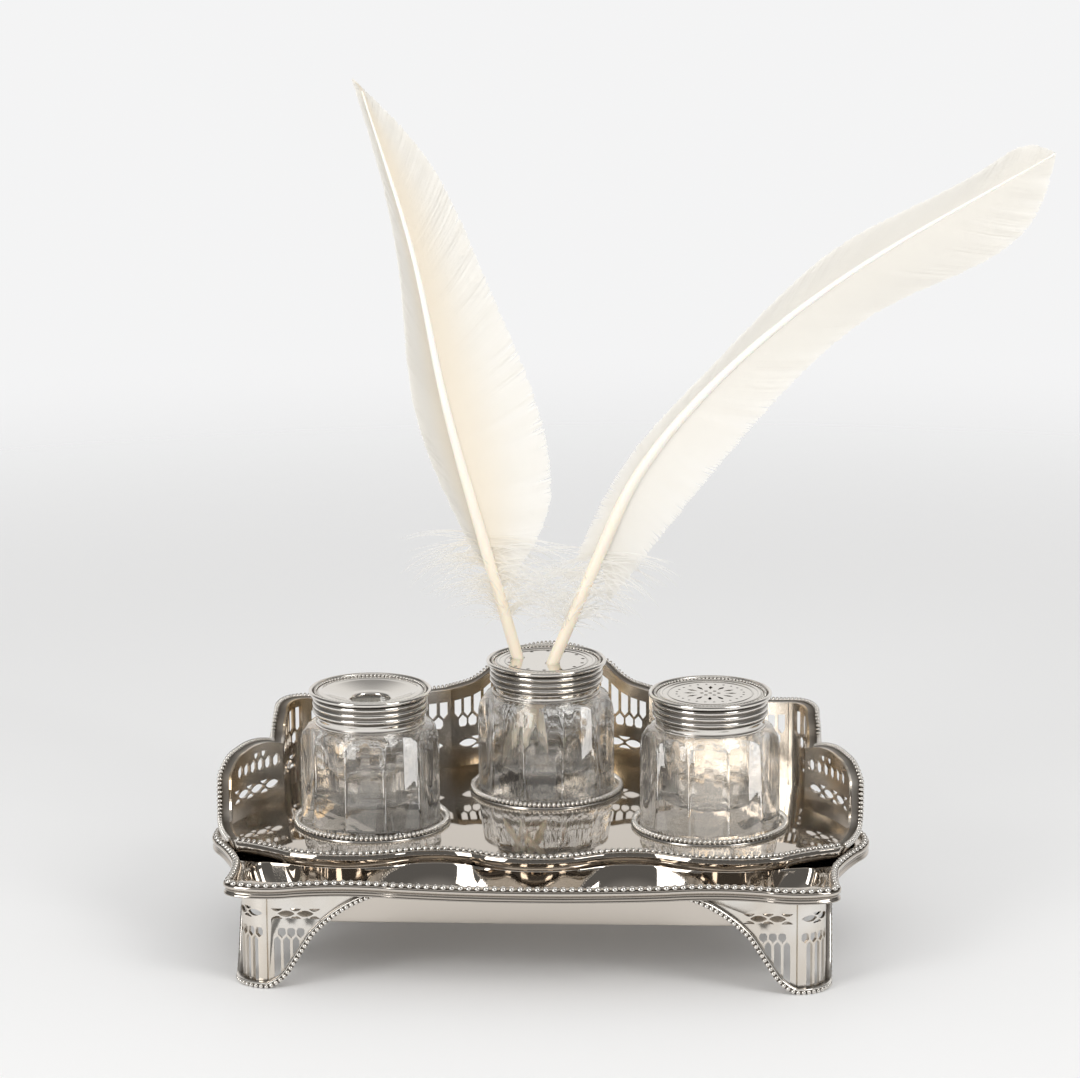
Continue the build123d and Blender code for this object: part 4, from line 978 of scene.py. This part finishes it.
class INKSTAND_OT_borders(bpy.types.Operator):
    """Make the moulded rim and the platform's border with their beads"""

    bl_idname = "inkstand.borders"
    bl_label = "Rim and platform borders"

    def execute(self, context):
        sizes, finish = context.scene.inkstand.beads, looks()
        rim = rim_outline()
        moulding("rim_band", plan_stations(rim), RIM_PROFILE, True, finish["tray"], "rim_moulding")
        beads = shifted(plan_stations(rim, FINE_STEP), RIM_BEAD_LINE)
        beaded("rim_beads", [(beads, True)], sizes.rim_pitch, RIM_BEAD)

        left = [(-x, y) for x, y in reversed(FRONT)]
        front = Outline(left + FRONT, [*reversed(FRONT_BULGES), PLATFORM_FRONT, *FRONT_BULGES])
        end = platform_outline().mitres[len(FRONT) - 1]
        front.mitres[-1], front.mitres[0] = end, Vector((-end.x, end.y))
        moulding("platform_band", plan_stations(front), PLATFORM_PROFILE, False, finish["polished"],
                 "platform_border")
        beads = shifted(plan_stations(front, FINE_STEP), PLATFORM_BEAD_LINE)
        beaded("platform_beads", [(beads, False)], sizes.border_pitch, PLATFORM_BEAD, sizes.slant)
        return {"FINISHED"}


def gallery_tracks():
    """Each gallery panel on the right, and the middle one, with its crest, sharing mitres at the joints."""
    near = WING_WALL[-1]
    far = (-near[0], near[1])
    whole = Outline([*SIDE_WALL, *CORNER_WALL[1:], *WING_WALL[1:], far],
                    [*SIDE_WALL_BULGES, *CORNER_WALL_BULGES, *WING_WALL_BULGES, PLATFORM_BACK])
    tracks = {"side": Outline(SIDE_WALL, SIDE_WALL_BULGES),
              "corner": Outline(CORNER_WALL, CORNER_WALL_BULGES),
              "wing": Outline(WING_WALL, WING_WALL_BULGES),
              "centre": Outline([near, far], [PLATFORM_BACK])}
    first = 0
    for track in tracks.values():
        track.mitres = whole.mitres[first:first + len(track.points)]
        first += len(track.points) - 1
    start = tracks["centre"].mitres[0]
    tracks["centre"].mitres = [start, Vector((-start.x, start.y))]
    tracks["side"].mitres[0] = platform_outline().mitres[len(FRONT) - 1]
    spans = {name: (track.points[-1] - track.points[0]).length for name, track in tracks.items()}
    peaks = CENTRE_CREST + [(spans["centre"] - x, z) for x, z in reversed(CENTRE_CREST)]
    peak_bulges = [*CENTRE_CREST_BULGES, CENTRE_PEAK_BULGE, *reversed(CENTRE_CREST_BULGES)]
    crests = {"side": Outline([*SIDE_CREST, (spans["side"], CUSP_HEIGHT)], SIDE_CREST_BULGES),
              "corner": Outline([*CORNER_CREST, (spans["corner"], CORNER_HEIGHT)], CORNER_CREST_BULGES),
              "wing": Outline([(0, CORNER_HEIGHT), (spans["wing"], CENTRE_CREST[0][1])], [WING_CREST_BULGE]),
              "centre": Outline(peaks, peak_bulges)}
    return {name: (track, crests[name]) for name, track in tracks.items()}


def crest_stations(track, crest):
    """Stations along a panel's crest: place, outwards and square to the crest within the panel."""
    start = track.points[0]
    along = (track.points[-1] - start).normalized()
    places, aims = [], []
    for place, aim, _ in track.stations(track.counts(CREST_STEP)):
        across = (place - start).dot(along)
        places.append(Vector((*place, PLATFORM_TOP + crest.height_over(across))))
        aims.append(Vector((*aim, 0)))
    return [(place, aim, aim.cross(heading_at(places, i)).normalized())
            for i, (place, aim) in enumerate(zip(places, aims))]


def heading_at(line, i):
    """The way a line of points runs at one of them."""
    return (line[min(i + 1, len(line) - 1)] - line[max(i - 1, 0)]).normalized()


def both_ends(stations):
    """The stations of a piece on the right, and the same on the left, by the end of the piece's name."""
    flip = Vector((-1, 1, 1))
    left = [(place * flip, aim * flip, up * flip) for place, aim, up in stations]
    return ("_right", stations), ("_left", left)


class INKSTAND_OT_gallery(bpy.types.Operator):
    """Make the pierced gallery, its flange and the beads along it"""

    bl_idname = "inkstand.gallery"
    bl_label = "Gallery"

    def execute(self, context):
        finish, lines = looks(), []
        for name, (track, crest) in gallery_tracks().items():
            stations = crest_stations(track, crest)
            for tail, path in (("", stations),) if name == "centre" else both_ends(stations):
                smooth_copy(f"gallery_{name}{tail}", finish["pierced"], "stand")
                moulding(f"crest_{name}{tail}", path, CREST_PROFILE, False, finish["borders"],
                         f"gallery_{name}_border{tail}")
                lines.append((shifted(path, CREST_BEAD_LINE), False))
        beaded("crest_beads", lines, context.scene.inkstand.beads.crest_pitch, CREST_BEAD)
        return {"FINISHED"}


def foot_stations(corner, headings):
    """Stations round a foot's edge: down one wing, round the toe and up the other."""
    into, away = (turned(Vector((1, 0)), math.radians(angle)) for angle in headings)
    turn = math.radians(headings[1] - headings[0])
    setback = FOOT_CORNER_RADIUS * math.tan(turn / 2)
    tip = Vector(corner)
    curve = Outline(FOOT_CURVE, FOOT_CURVE_BULGES)
    wings = []
    for heading, sign in ((into, -1), (away, 1)):
        outward, along = Vector((heading.y, -heading.x, 0)), heading * sign
        wings.append([(Vector((*(tip + along * (setback + place.x)), place.y)), outward,
                       Vector((-along.x * aim.x, -along.y * aim.x, -aim.y)))
                      for place, aim, _ in curve.stations(curve.counts(CREST_STEP))])
    bend = Outline([tip - into * setback, tip + away * setback],
                   [FOOT_CORNER_RADIUS * (1 - math.cos(turn / 2))])
    path = wings[0][::-1] + plan_stations(bend, CREST_STEP)[1:-1] + wings[1]
    return [station for station in path if station[0].z < FOOT_TOP]


class INKSTAND_OT_feet(bpy.types.Operator):
    """Make the pierced bracket feet and the beaded bands round them"""

    bl_idname = "inkstand.feet"
    bl_label = "Feet"

    def execute(self, context):
        finish, lines = looks(), []
        for name, (corner, headings) in FEET.items():
            for tail, path in both_ends(foot_stations(corner, headings)):
                smooth_copy(f"foot_{name}{tail}", finish["feet"], "stand")
                moulding(f"foot_band_{name}{tail}", path, FOOT_PROFILE, False, finish["polished"],
                         f"foot_{name}_border{tail}")
                lines.append((shifted(path, FOOT_BEAD_LINE), False))
        beaded("foot_beads", lines, context.scene.inkstand.beads.foot_pitch, FOOT_BEAD)
        return {"FINISHED"}


class INKSTAND_OT_bottles(bpy.types.Operator):
    """Make the glass bottles, their rings and their reeded collars"""

    bl_idname = "inkstand.bottles"
    bl_label = "Bottles"

    def execute(self, context):
        finish, lines = looks(), []
        collar = list(COLLAR_FOOT)
        for middle in COLLAR_REEDS:
            for angle, dark in REED:
                turn = math.radians(angle)
                out, up = REED_OUT * math.cos(turn), REED_UP * math.sin(turn)
                collar.append((REED_RADIUS + out, middle + up, dark))
        collar += COLLAR_TOP
        for name, centre in WELLS.items():
            body = f"bottle_{name}"
            smooth_copy(f"bottle_glass_{name}", finish["glass"], body, crease=22)
            spun(f"collar_{name}", collar, centre, body, [f"bottle_collar_{name}"])
            cement = NODES[f"bottle_cement_{name}"].data.materials
            cement.clear()
            cement.append(finish["cement"])
            spun(f"ring_{name}", RING_PROFILE, centre, "stand", [f"bottle_ring_{name}"], crease=50)
            lines.append(ring_line(centre, *RING_BEAD_LINE))
        beaded("ring_beads", lines, context.scene.inkstand.beads.ring_pitch, RING_BEAD)
        return {"FINISHED"}


class INKSTAND_OT_lids(bpy.types.Operator):
    """Make the lids: rims with a fine bead inside, and their plates"""

    bl_idname = "inkstand.lids"
    bl_label = "Lids"

    def execute(self, context):
        for name, centre in WELLS.items():
            body = f"lid_{name}"
            spun(f"lid_edge_{name}", LID_EDGE, centre, body, [f"lid_rim_{name}"])
            if name == "left":
                spun(f"lid_dish_{name}", LID_DISH, centre, body, [f"lid_plate_{name}"])
            else:
                smooth_copy(f"lid_plate_{name}", looks()["polished"], body)
                spun(f"lid_step_{name}", LID_STEP, centre, body)
                spun(f"lid_ledge_{name}", LID_LEDGE, centre, body)
            beaded(f"lid_beads_{name}", [ring_line(centre, *LID_BEAD_LINE)], LID_PITCH, LID_BEAD, body=body)
        return {"FINISHED"}


def shaft_line(quill):
    """A quill's middle line in (x, z): the foot and heading of its barrel, and the curve above it."""
    shaft = [Vector(point) for point in quill["shaft"]]
    axis = (shaft[1] - shaft[0]).normalized()
    curve = spline_through(quill["shaft"][1:], SHAFT_POINTS, axis, (shaft[-1] - shaft[-2]).normalized())
    return shaft[0], axis, [Vector(point) for point in curve]


def barbed(tree, name, shaft, edge, plane, values):
    """Barbs from a shaft line to an edge line, both in (x, z) in a quill's plane."""
    lines = [([(x, plane, z) for x, z in line], False) for line in (shaft, edge)]
    return tree.grow(name, line_mesh(name + "_line", lines, [False, True]), values)


class INKSTAND_OT_quills(bpy.types.Operator):
    """Make the quill pens: horn shafts cut to a nib, barbs and the down at the feathers' feet"""

    bl_idname = "inkstand.quills"
    bl_label = "Quills"

    def execute(self, context):
        sizes, finish = context.scene.inkstand.quills, looks()
        tree = barb_tree()
        angles = [2 * math.pi * i / HORN_SIDES for i in range(HORN_SIDES)]
        circle = [(math.cos(angle), math.sin(angle)) for angle in angles]
        for side, quill in QUILLS.items():
            plane, body, look = quill["plane"], f"quill_{side}", finish[f"vane_{side}"]
            foot, axis, curve = shaft_line(quill)
            line = [foot + axis * distance for distance in BARREL] + curve
            radii = [*BARREL.values(), *(
                HORN_RADIUS + (HORN_TIP_RADIUS - HORN_RADIUS) * (i / (len(curve) - 1)) ** HORN_THINNING
                for i in range(len(curve)))]
            stations = []
            for i, (point, radius) in enumerate(zip(line, radii)):
                heading = heading_at(line, i)
                out = Vector((heading.y, 0, -heading.x))
                stations.append((Vector((point.x, plane, point.y)), out * radius, Vector((0, radius, 0))))
            piece(f"quill_horn_{side}", swept(stations, circle, False), finish["shaft"], body,
                  [f"quill_shaft_{side}"], crease=60)

            vane = bmesh.new()
            inner = [curve[0] - axis * VANE_START, *curve[1:], Vector(quill["near"][-1])]
            for label, way in (("near", 1), ("far", -1)):
                outline = spline_through(quill[label], VANE_POINTS)
                vane.from_mesh(barbed(tree, f"vane_{label}_{side}", inner, outline, plane, {
                    **VANE, "Barbs": sizes.barbs, "Width": sizes.barb_width, "Bow": VANE_BOW * way,
                    "Seed": quill["seed"], "Material": look}))
            low = [foot + axis * distance for distance, _, _ in DOWN_PLACES]
            for way, seed in DOWN_SEEDS.items():
                edge = [(x + way * quill["down"] * share, z + rise)
                        for (x, z), (_, share, rise) in zip(low, DOWN_PLACES)]
                vane.from_mesh(barbed(tree, f"down_{side}", low, edge, plane, {
                    **DOWN, "Barbs": sizes.down, "Bow": DOWN_BOW * way, "Seed": seed, "Material": look}))
            feather = bpy.data.meshes.new(f"feather_{side}")
            vane.to_mesh(feather)
            vane.free()
            placed(f"feather_{side}", feather, look, body, [f"quill_vane_{side}"], crease=60)
        return {"FINISHED"}


# ---------------------------------------------------------------- stage

FLOOR_HALF, FLOOR_FADE = 1.4, (0.55, 1.25)
# each softbox's place, width, height and share of the power
SOFTBOXES = {
    "softbox_left": ((-1.12, -1.22, 0.62), 0.66, 1.15, 1.2),
    "softbox_right": ((1.2, -1.0, 1.15), 0.66, 0.9, 1.0),
    "softbox_top": ((0.0, -0.75, 1.6), 1.6, 1.0, 0.25),
}
LAMP_AIM, CAMERA_AIM = Vector((0, 0, 0.08)), Vector((0, 0, 0.16394))
CAMERA_ANGLES = (13.265, 3.137, -0.337)  # above level, to the right and rolled, in degrees
CAMERA_DISTANCE, CAMERA_LENS = 1.8, 149.07


def floor_look(colour):
    """A plain matt floor that fades into the backdrop away from the inkstand."""
    look = material("Pale floor")
    shader = look.node("ShaderNodeBsdfPrincipled", inputs={
        "Base Color": (*colour, 1), "Roughness": 0.6, "Specular IOR Level": 0.2})
    nothing = look.node("ShaderNodeBsdfTransparent")
    distance = look.node("ShaderNodeVectorMath", {"operation": "LENGTH"}, {0: look.place()}, out=1)
    return look.done(look.blend(look.band(distance, *FLOOR_FADE), shader, nothing))


def studio_world(world, even):
    """Even light for matt things, and for mirrors a pale backdrop behind and a dim room before."""
    look = Look(world)

    def light(strength, *colour):
        """Light of one colour from all round."""
        return look.node("ShaderNodeBackground", inputs={"Color": (*colour, 1), "Strength": strength})

    ahead = look.node("ShaderNodeSeparateXYZ", inputs={0: look.node("ShaderNodeTexCoord")}, out=1)
    height = ahead.beside(2)
    behind = look.band(ahead, 0.35, 0.85) * 0.86
    ground = look.band(0 - height, -0.02, 0.08) * 0.80
    above = look.band(height, 0.45, 0.95) * 0.22 + 0.14
    room = look.maths("MAXIMUM", look.maths("MAXIMUM", behind, ground), above)
    camera = look.node("ShaderNodeLightPath")
    mixed = look.blend(camera.beside("Is Glossy Ray"), light(even, 1.0, 1.0, 1.0),
                       light(room, 1.0, 0.985, 0.965))
    seen = look.maths("MAXIMUM", camera, camera.beside("Is Transmission Ray"))
    look.done(look.blend(seen, mixed, light(1.0, 0.905, 0.905, 0.908)), "ShaderNodeOutputWorld")


def softbox(name, place, width, height, power):
    """A soft rectangular lamp that faces the inkstand, unseen by the camera itself."""
    lamp = bpy.data.lights.new(name, "AREA")
    lamp.shape, lamp.size, lamp.size_y, lamp.energy = "RECTANGLE", width, height, power
    lamp.color = (1.0, 0.99, 0.975)
    made = bpy.data.objects.new(name, lamp)
    made.location = MIDDLE + Vector(place)
    made.rotation_euler = (MIDDLE + LAMP_AIM - made.location).to_track_quat("-Z", "Y").to_euler()
    made.visible_camera = False
    bpy.context.scene.collection.objects.link(made)


class INKSTAND_OT_stage(bpy.types.Operator):
    """Set out the pale floor, the studio light and the camera"""

    bl_idname = "inkstand.stage"
    bl_label = "Stage"

    def execute(self, context):
        settings, scene = context.scene.inkstand.stage, context.scene
        mesh = bpy.data.meshes.new("floor")
        corners = ((-1, -1, 0), (1, -1, 0), (1, 1, 0), (-1, 1, 0))
        mesh.from_pydata([Vector(corner) * FLOOR_HALF for corner in corners], [], [(0, 1, 2, 3)])
        mesh.materials.append(floor_look(settings.floor))
        floor = bpy.data.objects.new("floor", mesh)
        scene.collection.objects.link(floor)

        scene.world = bpy.data.worlds.new("Studio")
        studio_world(scene.world, settings.world)
        for name, (place, width, height, share) in SOFTBOXES.items():
            softbox(name, place, width, height, settings.softbox * share)

        rise, swing, roll = (math.radians(angle) for angle in CAMERA_ANGLES)
        back = Vector((math.sin(swing) * math.cos(rise), -math.cos(swing) * math.cos(rise), math.sin(rise)))
        camera = bpy.data.cameras.new("camera")
        camera.lens, camera.sensor_width = CAMERA_LENS, 36.0
        camera.clip_start, camera.clip_end = 0.05, 50
        seat = bpy.data.objects.new("camera", camera)
        seat.location = MIDDLE + CAMERA_AIM + back * CAMERA_DISTANCE
        aim = (-back).to_track_quat("-Z", "Y").to_matrix() @ Matrix.Rotation(roll, 3, "Z")
        seat.rotation_euler = aim.to_euler()
        scene.collection.objects.link(seat)
        scene.camera = seat
        scene.view_settings.view_transform = "Standard"
        return {"FINISHED"}


OPERATORS = (INKSTAND_OT_tray, INKSTAND_OT_borders, INKSTAND_OT_gallery, INKSTAND_OT_feet,
             INKSTAND_OT_bottles, INKSTAND_OT_lids, INKSTAND_OT_quills, INKSTAND_OT_stage)


class INKSTAND_PT_panel(bpy.types.Panel):
    """Lists the inkstand's pieces and their sizes"""

    bl_label = "Inkstand"
    bl_idname = "INKSTAND_PT_panel"
    bl_space_type = "VIEW_3D"
    bl_region_type = "UI"
    bl_category = "Inkstand"

    def draw(self, context):
        for operator in OPERATORS:
            self.layout.operator(operator.bl_idname)
        settings = context.scene.inkstand
        for group in (settings.silver, settings.beads, settings.quills, settings.glass, settings.stage):
            box = self.layout.box()
            for key in group.bl_rna.properties.keys():
                if key not in ("rna_type", "name"):
                    box.prop(group, key)


CLASSES = (SilverSettings, BeadSettings, QuillSettings, GlassSettings, StageSettings, InkstandSettings,
           *OPERATORS, INKSTAND_PT_panel)


def register():
    """Add the settings, operators and panel."""
    for entry in CLASSES:
        bpy.utils.register_class(entry)
    bpy.types.Scene.inkstand = bpy.props.PointerProperty(type=InkstandSettings)


def unregister():
    """Take them away again."""
    del bpy.types.Scene.inkstand
    for entry in reversed(CLASSES):
        bpy.utils.unregister_class(entry)


def main():
    """Make every piece and the stage."""
    register()
    for operator in OPERATORS:
        space, name = operator.bl_idname.split(".")
        getattr(getattr(bpy.ops, space), name)()


if __name__ == "__main__":
    main()
